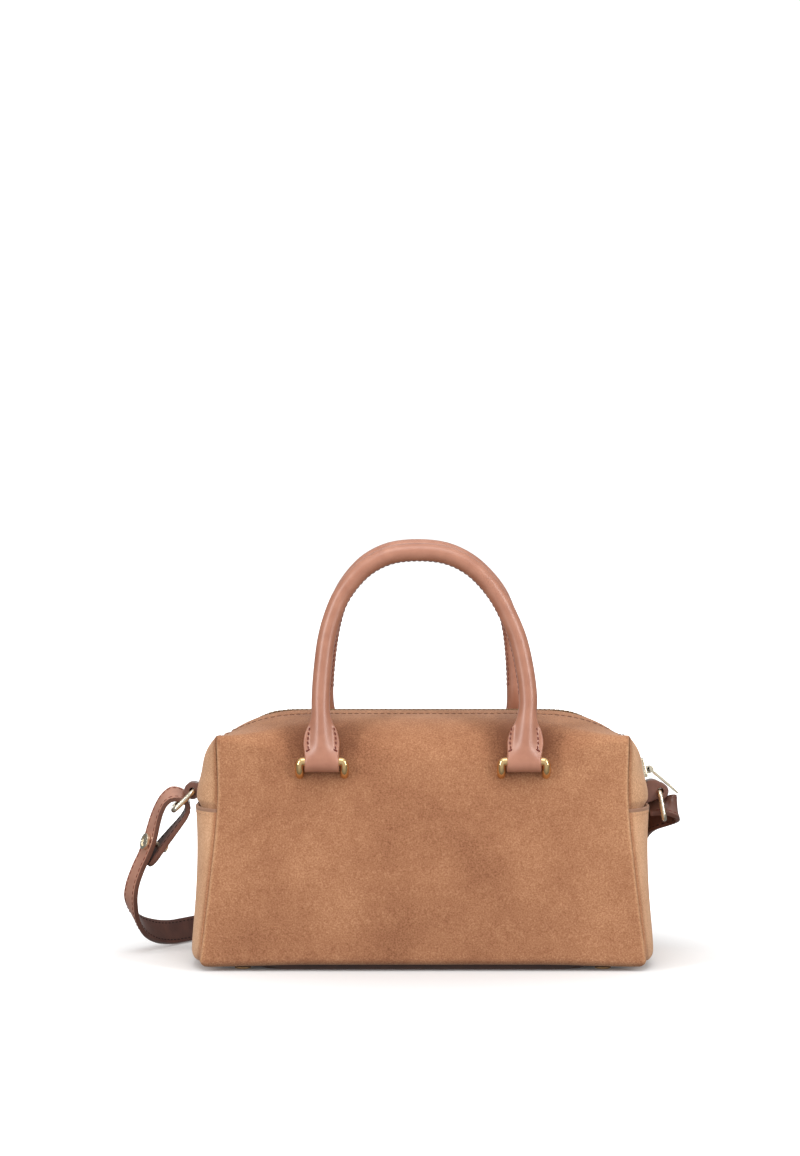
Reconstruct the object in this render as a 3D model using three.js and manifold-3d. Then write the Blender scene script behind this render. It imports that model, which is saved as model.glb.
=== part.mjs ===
// A small suede handbag with a zip from end to end, two rolled handles and a flat shoulder strap.
// Millimetres. +X is to the right, the front faces -Y, +Z is up, and the bag stands on z = 0.
import * as THREE from 'three';
import { mergeVertices } from 'three/addons/utils/BufferGeometryUtils.js';
import Module from 'manifold-3d';

const wasm = await Module();
wasm.setup();

const { degToRad, lerp, smoothstep } = THREE.MathUtils;
const { sin, cos, tan, sqrt, abs, sign, max, PI } = Math;

// Suede wall and the gap that neighbouring pieces keep
const WALL = 2;
const GAP = 0.35;
const WELD = 1e-4;

// Sides of small round pieces
const ROUND_SIDES = 12;

// Top line along the zip, from the middle to one end: flat, wide bend, tight bend, straight down the end
const TOP_HEIGHT = 143.3;
const TOP_FLAT_HALF = 72;
const WIDE_BEND_RADIUS = 72;
const WIDE_BEND_TURN = degToRad(31);
const TIGHT_BEND_RADIUS = 37;
const END_TURN = degToRad(76);

// Front face, leaning back, and the brow where it rolls over towards the zip
const FACE_LEAN = degToRad(6);
const FACE_REACH = 48.3;
const FACE_REACH_HEIGHT = 111.3;
const FACE_BELLY = 2.5;
const BROW_MIDDLE = { height: 108, radius: 32 };
const BROW_CORNER = { height: 124.5, radius: 5 };
const BROW_TIGHTENS_FROM = 0.45;
const SHOULDER_HALF = 116.4;
const SLOT_HALF = 5.2;
const PANEL_UNDERSIDE = 3.4;
const FOLD_RADIUS = 4;
const FLANGE_EDGE = 46;
const BOTTOM_CORNER_INSET = 3;
const FLANGE_END_INSET = 10;
const COLUMN_CROWDING = 0.25;

// Half width of the front panel, by height
const SIDE_ROWS = [
  { height: 0, half: 125.2 },
  { height: 20, half: 122.5 },
  { height: 40, half: 120.2 },
  { height: 60, half: 118 },
  { height: 80, half: 115.9 },
  { height: 97, half: 114.9 },
  { height: 112, half: 115.3 },
  { height: 135, half: 116.4 },
];

// Ears: the upper parts of a panel that fold round the end to the zip
const EAR_HEIGHTS = [127, 123, 118, 112.5, 107, 102.2, 96, 91, 86.5];
const EAR_ROUNDNESS = { free: 3.2, tucked: 2.3 };
const EAR_BULGE = { out: 2.2, from: 107, full: 124 };
const EAR_SEAM_WALL = 1.2 * WALL;
const EAR_TUCK = 4.8;
const EAR_TUCK_FROM = 96;
const EAR_TUCK_TO = 91;
const EAR_ROOT_X = 106;
const EAR_SLOT_HALF = 8;
const EAR_SLOT_WIDE_BELOW = 102.2;
const EAR_SLOT_NARROW_ABOVE = 107;
const SEAM_TUCK = 2.6;

// Lower end panels: reach of their middle by height, and how far the bottom fold turns in
const GUSSET_ROWS = [
  { height: 3.4, reach: 131.6, turned_in: 14 },
  { height: 3.4, reach: 131.6, turned_in: 4 },
  { height: 4.7, reach: 131.6, turned_in: 1.1 },
  { height: 7.4, reach: 131.6, turned_in: 0 },
  { height: 15, reach: 131.2, turned_in: 0 },
  { height: 24, reach: 130.5, turned_in: 0 },
  { height: 36, reach: 129.5, turned_in: 0 },
  { height: 50, reach: 128.9, turned_in: 0 },
  { height: 64, reach: 128.6, turned_in: 0 },
  { height: 76, reach: 128.9, turned_in: 0 },
  { height: 83, reach: 129.4, turned_in: 0 },
  { height: 89.6, reach: 129.9, turned_in: 0 },
];
const GUSSET_ROUNDNESS = 3;
const GUSSET_SEAM_INSET = 0.6;
const GUSSET_CORNER_LIFT = 2.5;
const GUSSET_CORNER_FROM = 0.6;
const GUSSET_CORNER_TO = 0.78;
const GUSSET_FOLD_TUCK = 3.6;
const GUSSET_FOLD_LOW = 7;
const GUSSET_FOLD_HIGH = 15;
const GUSSET_TOP = GUSSET_ROWS.at(-1).height;

// Leather base: a thin sheet with a thicker flat middle that the bag stands on
const BASE_SHEET = { half_x: 121.5, half_y: 54, bottom: 1.9, top: PANEL_UNDERSIDE - GAP, corner: 14 };
const BASE_CORNER_STEPS = 3;
const BASE_PAD = { half_x: 92, half_y: 51, bottom: 0, top: 2.4, corner: 16 };
const FOOT = { x: 101, y: 44, radius: 4.6, flat_radius: 3.3, round_height: 0.85 };

// Zip
const ZIP_LOW_END = 103.4;
const CHAIN = { half: 2.9, below: -2.4, above: 0.9 };
const TAPE = { half: 7, below: -4, above: -3.15 };
const SLIDER_HEIGHT = 109.2;
const SLIDER = { length: 11, half: 4.7, plate_from: 1.3, plate_to: 2.7, lip_to: -1.2, lip_inner: 3.4 };
const SLIDER_LUG = { along: 1.8, out: 5, radius: 2, inner: 2.2, outer: 3.5 };
const PULLER_PIN_RADIUS = 0.85;
const PULLER = { length: 21, half: 3, thick: 1.3, barrel: 1.9, barrel_half: 1.85, shoulder: 2.9 };
const PULLER_DROP = degToRad(40);

// Handles: rolled tube, flat ends and the loops that wrap the staple bars
const BAR_X = 56.4;
const BAR_HEIGHT = 116.5;
const BAR_REACH = 53.2;
const HANDLE_LEAN = degToRad(4);
const HANDLE_BACK_EXTRA = 3.5;
const TUBE_RADIUS = 5.1;
const WING_HALF_THICK = 1.5;
const LOOP_OUTER = 4.8;
const LOOP_BORE = 2.75;
const LOOP_HALF = 9.6;
const HANDLE_SWAY = -2.3;
const ARCH_ROWS = [
  { half: 57.2, rise: 33.5 },
  { half: 56.4, rise: 46.5 },
  { half: 53.4, rise: 67 },
  { half: 49.8, rise: 79.5 },
  { half: 44.8, rise: 91 },
  { half: 37.8, rise: 101 },
  { half: 28.6, rise: 109.6 },
  { half: 16, rise: 115.6 },
];
const ARCH_TOP_RISE = 117.4;
const FOOT_ROWS = [
  { rise: 0.9, half_width: 9.5, ridge: 2.0, flat: 1 },
  { rise: 4.6, half_width: 9.6, ridge: 2.4, flat: 1 },
  { rise: 8, half_width: 9.7, ridge: 3.9, flat: 1 },
  { rise: 12.5, half_width: 10.1, ridge: 4.7, flat: 1 },
  { rise: 18, half_width: 10.1, ridge: 5.1, flat: 1 },
  { rise: 22.5, half_width: 8.3, ridge: 5.1, flat: 0.85 },
  { rise: 26.5, half_width: 5.8, ridge: 5.1, flat: 0.3 },
];

// Staples: half of the wire's line, from the leg's end inside the panel to the middle of the bar
const STAPLE_WIRE = 2.35;
const STAPLE_SIDES = 8;
const STAPLE_UPRIGHT = new THREE.Vector3(0, 0.35, 1);
const STAPLE_ROWS = [
  { along: 12.5, out: -7.6, up: -8.4 },
  { along: 12.5, out: -4.0, up: -7.2 },
  { along: 12.45, out: -1.4, up: -4.9 },
  { along: 12.0, out: -0.35, up: -2.1 },
  { along: 10.8, out: 0, up: -0.45 },
  { along: 8.8, out: 0, up: 0 },
  { along: 0, out: 0, up: 0 },
];

// Loops at the ends and the rings that hang in them, by side
const TAB_HALF_WIDTH = 7;
const TAB_STEM = { inner: 122.6, outer: 126.6, bottom: 81, top: 98.5 };
const TAB_LOOP = { outer: 4.6, bore: 2.75 };
const RING_WIRE = 1.45;
const RING_SIDES = 8;
const RING_LONG = 15.8;
const RING_WIDE = 19.4;
const RING_CORNER = 3.2;
const RING_SLACK = 0.45;
const END_FITTINGS = {
  left: {
    side: -1, reach: 132.2, height: 96.6, leave_angle: degToRad(220),
    ring_drop: degToRad(44), ring_yaw: degToRad(6),
  },
  right: {
    side: 1, reach: 137, height: 96.3, leave_angle: degToRad(215),
    ring_drop: degToRad(80), ring_yaw: degToRad(-4),
  },
};

// Shoulder strap: middle line and the direction of its width, from the left tip to the right tip
const STRAP_WIDTH = 14.4;
const STRAP_THICK = 2.6;
const STRAP_FLOOR_CLEARANCE = 0.05;
const STRAP_TURN = { x: 113, y: 150, steps: 10, height: 7.25 };
const STRAP_LEFT_ROWS = [
  { x: -158.8, y: 0, z: 53.4, wx: -0.42, wy: 0.91, wz: 0 },
  { x: -153.8, y: 0, z: 60.4, wx: -0.42, wy: 0.91, wz: 0 },
  { x: -150.2, y: 0, z: 65.2, wx: -0.38, wy: 0.93, wz: 0 },
  { x: -145.3, y: 0, z: 71.3, wx: -0.32, wy: 0.95, wz: 0 },
  { x: -140.8, y: 0, z: 76.8, wx: -0.24, wy: 0.97, wz: 0 },
  { x: -137, y: 0, z: 82, wx: -0.18, wy: 0.98, wz: 0 },
  { x: -135.4, y: 0, z: 86.6, wx: -0.1, wy: 0.99, wz: 0.04 },
  { x: -136.6, y: 0, z: 90.6, wx: -0.04, wy: 0.98, wz: 0.14 },
  { x: -140, y: 0, z: 93.6, wx: -0.02, wy: 0.93, wz: 0.34 },
  { x: -144.8, y: 0, z: 94, wx: -0.06, wy: 0.9, wz: 0.42 },
  { x: -149, y: 0, z: 90.8, wx: -0.18, wy: 0.92, wz: 0.32 },
  { x: -152, y: 0, z: 85.6, wx: -0.3, wy: 0.93, wz: 0.16 },
  { x: -154.2, y: 0, z: 79.4, wx: -0.38, wy: 0.92, wz: 0.05 },
  { x: -155.9, y: 0, z: 72.9, wx: -0.43, wy: 0.9, wz: 0 },
  { x: -157.7, y: 0, z: 66.2, wx: -0.45, wy: 0.89, wz: 0 },
  { x: -160.5, y: 0, z: 59, wx: -0.45, wy: 0.89, wz: 0 },
  { x: -164.2, y: 0.5, z: 51, wx: -0.45, wy: 0.89, wz: 0 },
  { x: -167.5, y: 2, z: 41.5, wx: -0.45, wy: 0.89, wz: 0 },
  { x: -168.9, y: 6, z: 32, wx: -0.45, wy: 0.89, wz: 0.05 },
  { x: -167.8, y: 13, z: 23, wx: -0.35, wy: 0.88, wz: 0.3 },
  { x: -164.2, y: 24, z: 15.3, wx: -0.2, wy: 0.85, wz: 0.48 },
  { x: -158.2, y: 38, z: 10.2, wx: -0.05, wy: 0.78, wz: 0.62 },
  { x: -150.5, y: 53, z: 7.5, wx: 0, wy: 0.7, wz: 0.71 },
  { x: -140.5, y: 69, z: 6.8, wx: 0, wy: 0.6, wz: 0.8 },
  { x: -129, y: 88, z: 7.2, wx: 0, wy: 0.35, wz: 0.94 },
  { x: -119.5, y: 110, z: 7.25, wx: 0, wy: 0, wz: 1 },
  { x: -114.2, y: 131, z: 7.25, wx: 0, wy: 0, wz: 1 },
];
const STRAP_RIGHT_ROWS = [
  { x: 114.2, y: 131, z: 7.25, wx: 0, wy: 0, wz: 1 },
  { x: 116.2, y: 112, z: 7.5, wx: 0, wy: 0, wz: 1 },
  { x: 118, y: 97, z: 10, wx: 0, wy: 0.08, wz: 1 },
  { x: 119.6, y: 84.5, z: 16.5, wx: 0, wy: 0.2, wz: 0.98 },
  { x: 121.4, y: 73.5, z: 26.5, wx: 0, wy: 0.3, wz: 0.95 },
  { x: 123.4, y: 62.5, z: 39, wx: 0, wy: 0.4, wz: 0.92 },
  { x: 126, y: 51, z: 51.5, wx: 0, wy: 0.45, wz: 0.89 },
  { x: 129, y: 39.5, z: 62.5, wx: -0.05, wy: 0.45, wz: 0.89 },
  { x: 132, y: 28, z: 71.4, wx: -0.15, wy: 0.4, wz: 0.9 },
  { x: 135.4, y: 18.6, z: 77.8, wx: -0.25, wy: 0.3, wz: 0.92 },
  { x: 141.2, y: 13.8, z: 82.2, wx: -0.25, wy: 0.15, wz: 0.95 },
  { x: 145.4, y: 10.2, z: 84.6, wx: -0.15, wy: 0.05, wz: 0.98 },
  { x: 146.9, y: 5.8, z: 86, wx: -0.05, wy: 0.1, wz: 0.99 },
  { x: 144.8, y: 2.2, z: 86.6, wx: -0.2, wy: 0.6, wz: 0.77 },
  { x: 140.9, y: 0.6, z: 86.7, wx: 0, wy: 0.87, wz: 0.49 },
  { x: 136.9, y: 0.3, z: 86.7, wx: 0, wy: 0.89, wz: 0.45 },
  { x: 133.4, y: 0.2, z: 86.5, wx: 0, wy: 0.89, wz: 0.45 },
];
const STRAP_STEPS = 2;
const STUD_ROW = 14;
const STUD = { post: 1.4, grip: 11.3, back: 3.4, back_thick: 1.3 };
const STUD_HEAD = { radius: 4.25, thick: 2, rim_height: 1, rim_radius: 3.4 };
const STUD_DISH = { radius: 2.1, floor_radius: 1.5, deep: 0.7 };

// Colours and finish
const SUEDE = { color: 0xb5784a, roughness: 0.95, metalness: 0 };
const SMOOTH_LEATHER = { color: 0xb0713f, roughness: 0.5, metalness: 0 };
const STRAP_LEATHER = { color: 0xa9683c, roughness: 0.5, metalness: 0 };
const DARK_LEATHER = { color: 0x4a2c20, roughness: 0.55, metalness: 0 };
const BRASS = { color: 0xc9a463, roughness: 0.3, metalness: 1 };
const PALE_BRASS = { color: 0xd8bf8d, roughness: 0.25, metalness: 1 };
const TAPE_CLOTH = { color: 0x8a5a38, roughness: 0.9, metalness: 0 };

// A smooth value through rows that are sorted by one column
function through(rows, key, column) {
  const slopes = rows.map((row, i) => {
    const before = rows[max(i - 1, 0)];
    const after = rows[Math.min(i + 1, rows.length - 1)];
    return (after[column] - before[column]) / (after[key] - before[key]);
  });
  return (at) => {
    let i = rows.findIndex((row) => row[key] > at) - 1;
    if (i === -2) i = rows.length - 2;
    i = max(i, 0);
    const step = rows[i + 1][key] - rows[i][key];
    const t = Math.min(max((at - rows[i][key]) / step, 0), 1);
    const rise = t * t * (3 - 2 * t);
    const bend = t * (1 - t) * step * (slopes[i] * (1 - t) - slopes[i + 1] * t);
    return lerp(rows[i][column], rows[i + 1][column], rise) + bend;
  };
}

// A closed geometry from points and triangles, turned so that its faces point out
function closedGeometry(points, triangles) {
  let volume = 0;
  for (const [a, b, c] of triangles) {
    volume += points[a].dot(points[b].clone().cross(points[c]));
  }
  const turned = volume < 0 ? triangles.map(([a, b, c]) => [a, c, b]) : triangles;
  const geometry = new THREE.BufferGeometry().setFromPoints(points);
  geometry.setIndex(turned.flat());
  geometry.computeVertexNormals();
  return geometry;
}

// A wall between an outer and an inner grid of points with the same rows and columns
function wallBetween(outer, inner) {
  const rows = outer.length;
  const columns = outer[0].length;
  const points = [...outer.flat(), ...inner.flat()];
  const face = (r, c) => r * columns + c;
  const back = (r, c) => rows * columns + r * columns + c;
  const triangles = [];
  const quad = (a, b, c, d) => triangles.push([a, b, c], [a, c, d]);
  for (let r = 0; r < rows - 1; r += 1) {
    for (let c = 0; c < columns - 1; c += 1) {
      quad(face(r, c), face(r + 1, c), face(r + 1, c + 1), face(r, c + 1));
      quad(back(r, c), back(r, c + 1), back(r + 1, c + 1), back(r + 1, c));
    }
  }
  for (let c = 0; c < columns - 1; c += 1) {
    quad(face(0, c + 1), back(0, c + 1), back(0, c), face(0, c));
    quad(face(rows - 1, c), back(rows - 1, c), back(rows - 1, c + 1), face(rows - 1, c + 1));
  }
  for (let r = 0; r < rows - 1; r += 1) {
    quad(face(r, 0), back(r, 0), back(r + 1, 0), face(r + 1, 0));
    quad(face(r + 1, columns - 1), back(r + 1, columns - 1), back(r, columns - 1), face(r, columns - 1));
  }
  return closedGeometry(points, triangles);
}

// The inner grid of a smooth wall, one wall thickness behind the outer grid
function insetGrid(outer, thickness) {
  const last = outer.length - 1;
  const end = outer[0].length - 1;
  return outer.map((row, r) => row.map((point, c) => {
    const down = outer[Math.min(r + 1, last)][c].clone().sub(outer[max(r - 1, 0)][c]);
    const across = row[Math.min(c + 1, end)].clone().sub(row[max(c - 1, 0)]);
    return point.clone().addScaledVector(down.cross(across).normalize(), -thickness);
  }));
}

// A body whose outline rings follow each other, with flat ends or joined into a loop
function bodyFromRings(rings, joined = false) {
  const sides = rings[0].length;
  const points = rings.flat();
  const triangles = [];
  const spans = joined ? rings.length : rings.length - 1;
  for (let i = 0; i < spans; i += 1) {
    const here = i * sides;
    const next = ((i + 1) % rings.length) * sides;
    for (let k = 0; k < sides; k += 1) {
      const l = (k + 1) % sides;
      triangles.push([here + k, here + l, next + l], [here + k, next + l, next + k]);
    }
  }
  if (!joined) {
    const far = (rings.length - 1) * sides;
    for (let k = 1; k < sides - 1; k += 1) {
      triangles.push([0, k + 1, k], [far, far + k, far + k + 1]);
    }
  }
  return closedGeometry(points, triangles);
}

// A round wire along points; its rings keep one side towards a steady direction
function wireAlong(points, radius, sides, steady, joined = false) {
  const count = points.length;
  const rings = points.map((point, i) => {
    const before = joined ? points[(i + count - 1) % count] : points[max(i - 1, 0)];
    const after = joined ? points[(i + 1) % count] : points[Math.min(i + 1, count - 1)];
    const along = after.clone().sub(before).normalize();
    const first = steady.clone().addScaledVector(along, -steady.dot(along)).normalize();
    const second = along.clone().cross(first);
    return Array.from({ length: sides }, (_, k) => {
      const turn = (2 * PI * k) / sides;
      const offset = first.clone().multiplyScalar(radius * cos(turn));
      return point.clone().add(offset).addScaledVector(second, radius * sin(turn));
    });
  });
  return bodyFromRings(rings, joined);
}

// Geometry to a solid that can be joined and cut, and back
function solidOf(geometry) {
  const plain = geometry.clone();
  plain.deleteAttribute('normal');
  plain.deleteAttribute('uv');
  const merged = mergeVertices(plain, WELD);
  const vertProperties = new Float32Array(merged.attributes.position.array);
  const triVerts = new Uint32Array(merged.index.array);
  return new wasm.Manifold(new wasm.Mesh({ numProp: 3, vertProperties, triVerts }));
}

function geometryOf(solid) {
  const mesh = solid.getMesh();
  const geometry = new THREE.BufferGeometry();
  geometry.setAttribute('position', new THREE.BufferAttribute(new Float32Array(mesh.vertProperties), 3));
  geometry.setIndex(new THREE.BufferAttribute(new Uint32Array(mesh.triVerts), 1));
  geometry.computeVertexNormals();
  return geometry;
}

// A plain box between two corners
function boxBetween(low, high) {
  const size = high.clone().sub(low);
  const middle = low.clone().add(high).multiplyScalar(0.5);
  return new THREE.BoxGeometry(size.x, size.y, size.z).translate(middle.x, middle.y, middle.z);
}

// Where the top line has turned by an angle, on the right half
const wideEnd = {
  x: TOP_FLAT_HALF + WIDE_BEND_RADIUS * sin(WIDE_BEND_TURN),
  z: TOP_HEIGHT - WIDE_BEND_RADIUS * (1 - cos(WIDE_BEND_TURN)),
};
const tightEnd = {
  x: wideEnd.x + TIGHT_BEND_RADIUS * (sin(END_TURN) - sin(WIDE_BEND_TURN)),
  z: wideEnd.z - TIGHT_BEND_RADIUS * (cos(WIDE_BEND_TURN) - cos(END_TURN)),
};

function topLineAtTurn(turn) {
  if (turn <= WIDE_BEND_TURN) {
    const x = TOP_FLAT_HALF + WIDE_BEND_RADIUS * sin(turn);
    return { x, z: TOP_HEIGHT - WIDE_BEND_RADIUS * (1 - cos(turn)), turn };
  }
  const x = wideEnd.x + TIGHT_BEND_RADIUS * (sin(turn) - sin(WIDE_BEND_TURN));
  return { x, z: wideEnd.z - TIGHT_BEND_RADIUS * (cos(WIDE_BEND_TURN) - cos(turn)), turn };
}

// Height of the top line over x, and its reach along x at a height on the end
function topLineHeight(x) {
  if (x <= TOP_FLAT_HALF) return TOP_HEIGHT;
  const wide = (x - TOP_FLAT_HALF) / WIDE_BEND_RADIUS;
  if (x <= wideEnd.x) return topLineAtTurn(Math.asin(wide)).z;
  return topLineAtTurn(Math.asin(sin(WIDE_BEND_TURN) + (x - wideEnd.x) / TIGHT_BEND_RADIUS)).z;
}

function topLineReach(height) {
  if (height < tightEnd.z) return tightEnd.x + (tightEnd.z - height) / tan(END_TURN);
  return topLineAtTurn(Math.acos(cos(WIDE_BEND_TURN) - (wideEnd.z - height) / TIGHT_BEND_RADIUS)).x;
}

// Stations along the top line from one low end to the other
function topLineStations(lowEnd) {
  const half = [];
  const flatSteps = 3;
  const wideSteps = 4;
  const tightSteps = 5;
  for (let i = 0; i < flatSteps; i += 1) {
    half.push({ x: (TOP_FLAT_HALF * i) / flatSteps, z: TOP_HEIGHT, turn: 0 });
  }
  for (let i = 0; i < wideSteps; i += 1) half.push(topLineAtTurn((WIDE_BEND_TURN * i) / wideSteps));
  for (let i = 0; i <= tightSteps; i += 1) {
    half.push(topLineAtTurn(lerp(WIDE_BEND_TURN, END_TURN, i / tightSteps)));
  }
  half.push({ x: topLineReach(lowEnd), z: lowEnd, turn: END_TURN });
  const mirrored = half.slice(1).reverse().map(({ x, z, turn }) => ({ x: -x, z, turn: -turn }));
  return [...mirrored, ...half];
}

// Forward reach of the plain front face at a height, and half width of the panel
const faceReach = (height) => FACE_REACH + (FACE_REACH_HEIGHT - height) * tan(FACE_LEAN);
const sideHalf = through(SIDE_ROWS, 'height', 'half');

// The rounded brow at a place across the panel: 0 in the middle, 1 at the shoulder
function browAt(across) {
  const tight = smoothstep(abs(across), BROW_TIGHTENS_FROM, 1);
  const height = lerp(BROW_MIDDLE.height, BROW_CORNER.height, tight);
  const radius = lerp(BROW_MIDDLE.radius, BROW_CORNER.radius, tight);
  const reach = faceReach(height) - radius / cos(FACE_LEAN);
  const edge = { reach: SLOT_HALF, height: topLineHeight(abs(across) * SHOULDER_HALF) };
  const toEdge = Math.atan2(edge.height - height, edge.reach - reach);
  const distance = Math.hypot(edge.height - height, edge.reach - reach);
  return { reach, height, radius, edge, start: toEdge - Math.acos(radius / distance) };
}

// Height of the top slope over a forward reach
function slopeHeight(across, reach) {
  const brow = browAt(across);
  const touch = brow.reach + brow.radius * cos(brow.start);
  const touchHeight = brow.height + brow.radius * sin(brow.start);
  if (reach <= touch) {
    return lerp(brow.edge.height, touchHeight, (reach - brow.edge.reach) / (touch - brow.edge.reach));
  }
  return brow.height + sqrt(max(brow.radius ** 2 - (reach - brow.reach) ** 2, 0));
}

// One line of the front panel from the zip edge to the flange under the bag
function panelLine(across) {
  const brow = browAt(across);
  const topSteps = 2;
  const browSteps = 5;
  const faceSteps = 6;
  const foldSteps = 2;
  const line = [];
  for (let i = 0; i < topSteps; i += 1) {
    const reach = lerp(SLOT_HALF, brow.reach + brow.radius * cos(brow.start), i / topSteps);
    line.push({ reach, height: slopeHeight(across, reach) });
  }
  for (let i = 0; i < browSteps; i += 1) {
    const turn = lerp(brow.start, FACE_LEAN, i / browSteps);
    const reach = brow.reach + brow.radius * cos(turn);
    line.push({ reach, height: brow.height + brow.radius * sin(turn) });
  }
  const faceTop = brow.height + brow.radius * sin(FACE_LEAN);
  const foldHeight = PANEL_UNDERSIDE + FOLD_RADIUS;
  for (let i = 0; i < faceSteps; i += 1) {
    const height = lerp(faceTop, foldHeight, i / faceSteps);
    const belly = FACE_BELLY * cos((PI / 2) * across) * sin((PI * i) / faceSteps);
    line.push({ reach: faceReach(height) + belly, height });
  }
  const foldReach = faceReach(foldHeight) - FOLD_RADIUS / cos(FACE_LEAN);
  for (let i = 0; i <= foldSteps; i += 1) {
    const turn = lerp(FACE_LEAN, -PI / 2, i / foldSteps);
    const inset = BOTTOM_CORNER_INSET * (i / foldSteps) ** 2;
    const height = foldHeight + FOLD_RADIUS * sin(turn);
    line.push({ reach: foldReach + FOLD_RADIUS * cos(turn), height, inset });
  }
  line.push({ reach: FLANGE_EDGE, height: PANEL_UNDERSIDE, inset: FLANGE_END_INSET });
  return line;
}

// The front of the panel without its ears; its columns crowd towards the shoulders
function panelSheet() {
  const columns = 15;
  const lines = Array.from({ length: columns }, (_, c) => {
    const even = lerp(-1, 1, c / (columns - 1));
    const across = even * (1 + COLUMN_CROWDING * (1 - even * even));
    return panelLine(across).map(({ reach, height, inset = 0 }) => (
      new THREE.Vector3(across * (sideHalf(height) - inset), -reach, height)));
  });
  const outer = lines[0].map((_, r) => lines.map((line) => line[r]));
  return wallBetween(outer, insetGrid(outer, WALL));
}

// One ear; its first row lies inside the top of the panel so that the two are one sheet
function earSheet(side) {
  const columns = 7;
  const seamReach = (height) => faceReach(height) - SEAM_TUCK;
  const outer = [];
  const inner = [];
  const share = (c) => c / (columns - 1);
  const place = (x, reach, height) => new THREE.Vector3(side * x, -reach, height);
  const each = (make) => Array.from({ length: columns }, (_, c) => make(share(c)));
  const rootReach = (v) => lerp(SLOT_HALF, seamReach(BROW_CORNER.height + BROW_CORNER.radius), v);
  const rootHeight = (v) => slopeHeight(EAR_ROOT_X / SHOULDER_HALF, rootReach(v));
  const creaseHeight = (v) => slopeHeight(1, rootReach(v));
  const creaseX = SHOULDER_HALF - GAP / 2;
  outer.push(each((v) => place(EAR_ROOT_X, rootReach(v), rootHeight(v) - WALL / 4)));
  inner.push(each((v) => place(EAR_ROOT_X, rootReach(v), rootHeight(v) - (3 * WALL) / 4)));
  outer.push(each((v) => place(creaseX, rootReach(v), creaseHeight(v) - GAP)));
  inner.push(each((v) => place(creaseX - WALL, rootReach(v), creaseHeight(v) - WALL)));
  for (const height of EAR_HEIGHTS) {
    const half = sideHalf(height) - GAP;
    const lowered = smoothstep(height, EAR_TUCK_TO, EAR_TUCK_FROM);
    const narrowed = smoothstep(height, EAR_SLOT_WIDE_BELOW, EAR_SLOT_NARROW_ABOVE);
    const slot = lerp(EAR_SLOT_HALF, SLOT_HALF, narrowed);
    const tuck = EAR_TUCK * (1 - lowered);
    const reachAt = (v) => lerp(slot, seamReach(height), v);
    const roundness = lerp(EAR_ROUNDNESS.tucked, EAR_ROUNDNESS.free, lowered);
    const bulge = EAR_BULGE.out * smoothstep(height, EAR_BULGE.from, EAR_BULGE.full);
    const xAt = (v) => lerp(topLineReach(height), half, v ** roundness) + 4 * bulge * v * (1 - v) - tuck;
    outer.push(each((v) => place(xAt(v), reachAt(v), height)));
    inner.push(each((v) => place(xAt(v) - lerp(WALL, EAR_SEAM_WALL, v), reachAt(v), height)));
  }
  return wallBetween(outer, inner);
}

// A staple's wire line round the middle of its bar; out is away from the bag
function stapleLine() {
  const half = STAPLE_ROWS.map(({ along, out, up }) => new THREE.Vector3(along, -out, up));
  const other = half.slice(0, -1).map((point) => new THREE.Vector3(-point.x, point.y, point.z));
  return [...half, ...other.reverse()];
}

function stapleWire(radius) {
  return wireAlong(stapleLine(), radius, STAPLE_SIDES, STAPLE_UPRIGHT);
}

// A whole panel: sheet, two ears and the holes for the staple legs
function panelGeometry() {
  const ears = [-1, 1].map((side) => solidOf(earSheet(side)));
  let panel = solidOf(panelSheet()).add(ears[0]).add(ears[1]);
  for (const side of [-1, 1]) {
    const legs = stapleWire(STAPLE_WIRE + GAP).translate(side * BAR_X, -BAR_REACH, BAR_HEIGHT);
    panel = panel.subtract(solidOf(legs));
  }
  return geometryOf(panel);
}

// A lower end panel, on the right side
function gussetGeometry() {
  const columns = 11;
  const outer = [...GUSSET_ROWS].reverse().map(({ height, reach, turned_in }) => {
    const half = sideHalf(height) - GUSSET_SEAM_INSET;
    const low = 1 - smoothstep(height, GUSSET_FOLD_LOW, GUSSET_FOLD_HIGH);
    const seam = faceReach(height) - SEAM_TUCK - GUSSET_FOLD_TUCK * low;
    return Array.from({ length: columns }, (_, c) => {
      const t = lerp(-1, 1, c / (columns - 1));
      const x = lerp(reach, half, abs(t) ** GUSSET_ROUNDNESS) - turned_in;
      const lift = GUSSET_CORNER_LIFT * low * smoothstep(abs(t), GUSSET_CORNER_FROM, GUSSET_CORNER_TO);
      return new THREE.Vector3(x, t * seam, height + lift);
    });
  });
  return wallBetween(outer, insetGrid(outer, WALL));
}

// A flat plate with rounded corners
function plate({ half_x, half_y, bottom, top, corner }) {
  const shape = new THREE.Shape();
  const arcs = [[1, 1, 0], [-1, 1, PI / 2], [-1, -1, PI], [1, -1, 1.5 * PI]];
  for (const [right, back, start] of arcs) {
    shape.absarc(right * (half_x - corner), back * (half_y - corner), corner, start, start + PI / 2);
  }
  const settings = { depth: top - bottom, bevelEnabled: false, curveSegments: BASE_CORNER_STEPS };
  return new THREE.ExtrudeGeometry(shape, settings).translate(0, 0, bottom);
}

function footGeometry() {
  const top = BASE_SHEET.bottom - GAP;
  const profile = [
    new THREE.Vector2(0, 0),
    new THREE.Vector2(FOOT.flat_radius, 0),
    new THREE.Vector2(FOOT.radius, FOOT.round_height),
    new THREE.Vector2(FOOT.radius, top),
    new THREE.Vector2(0, top),
  ];
  return new THREE.LatheGeometry(profile, ROUND_SIDES).rotateX(PI / 2);
}

// A band along the top line; above and below are measured from the line
function zipBand({ half, below, above }) {
  const rings = topLineStations(ZIP_LOW_END).map(({ x, z, turn }) => {
    const at = (y, off) => new THREE.Vector3(x + off * sin(turn), y, z + off * cos(turn));
    return [at(-half, below), at(half, below), at(half, above), at(-half, above)];
  });
  return bodyFromRings(rings);
}

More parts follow.
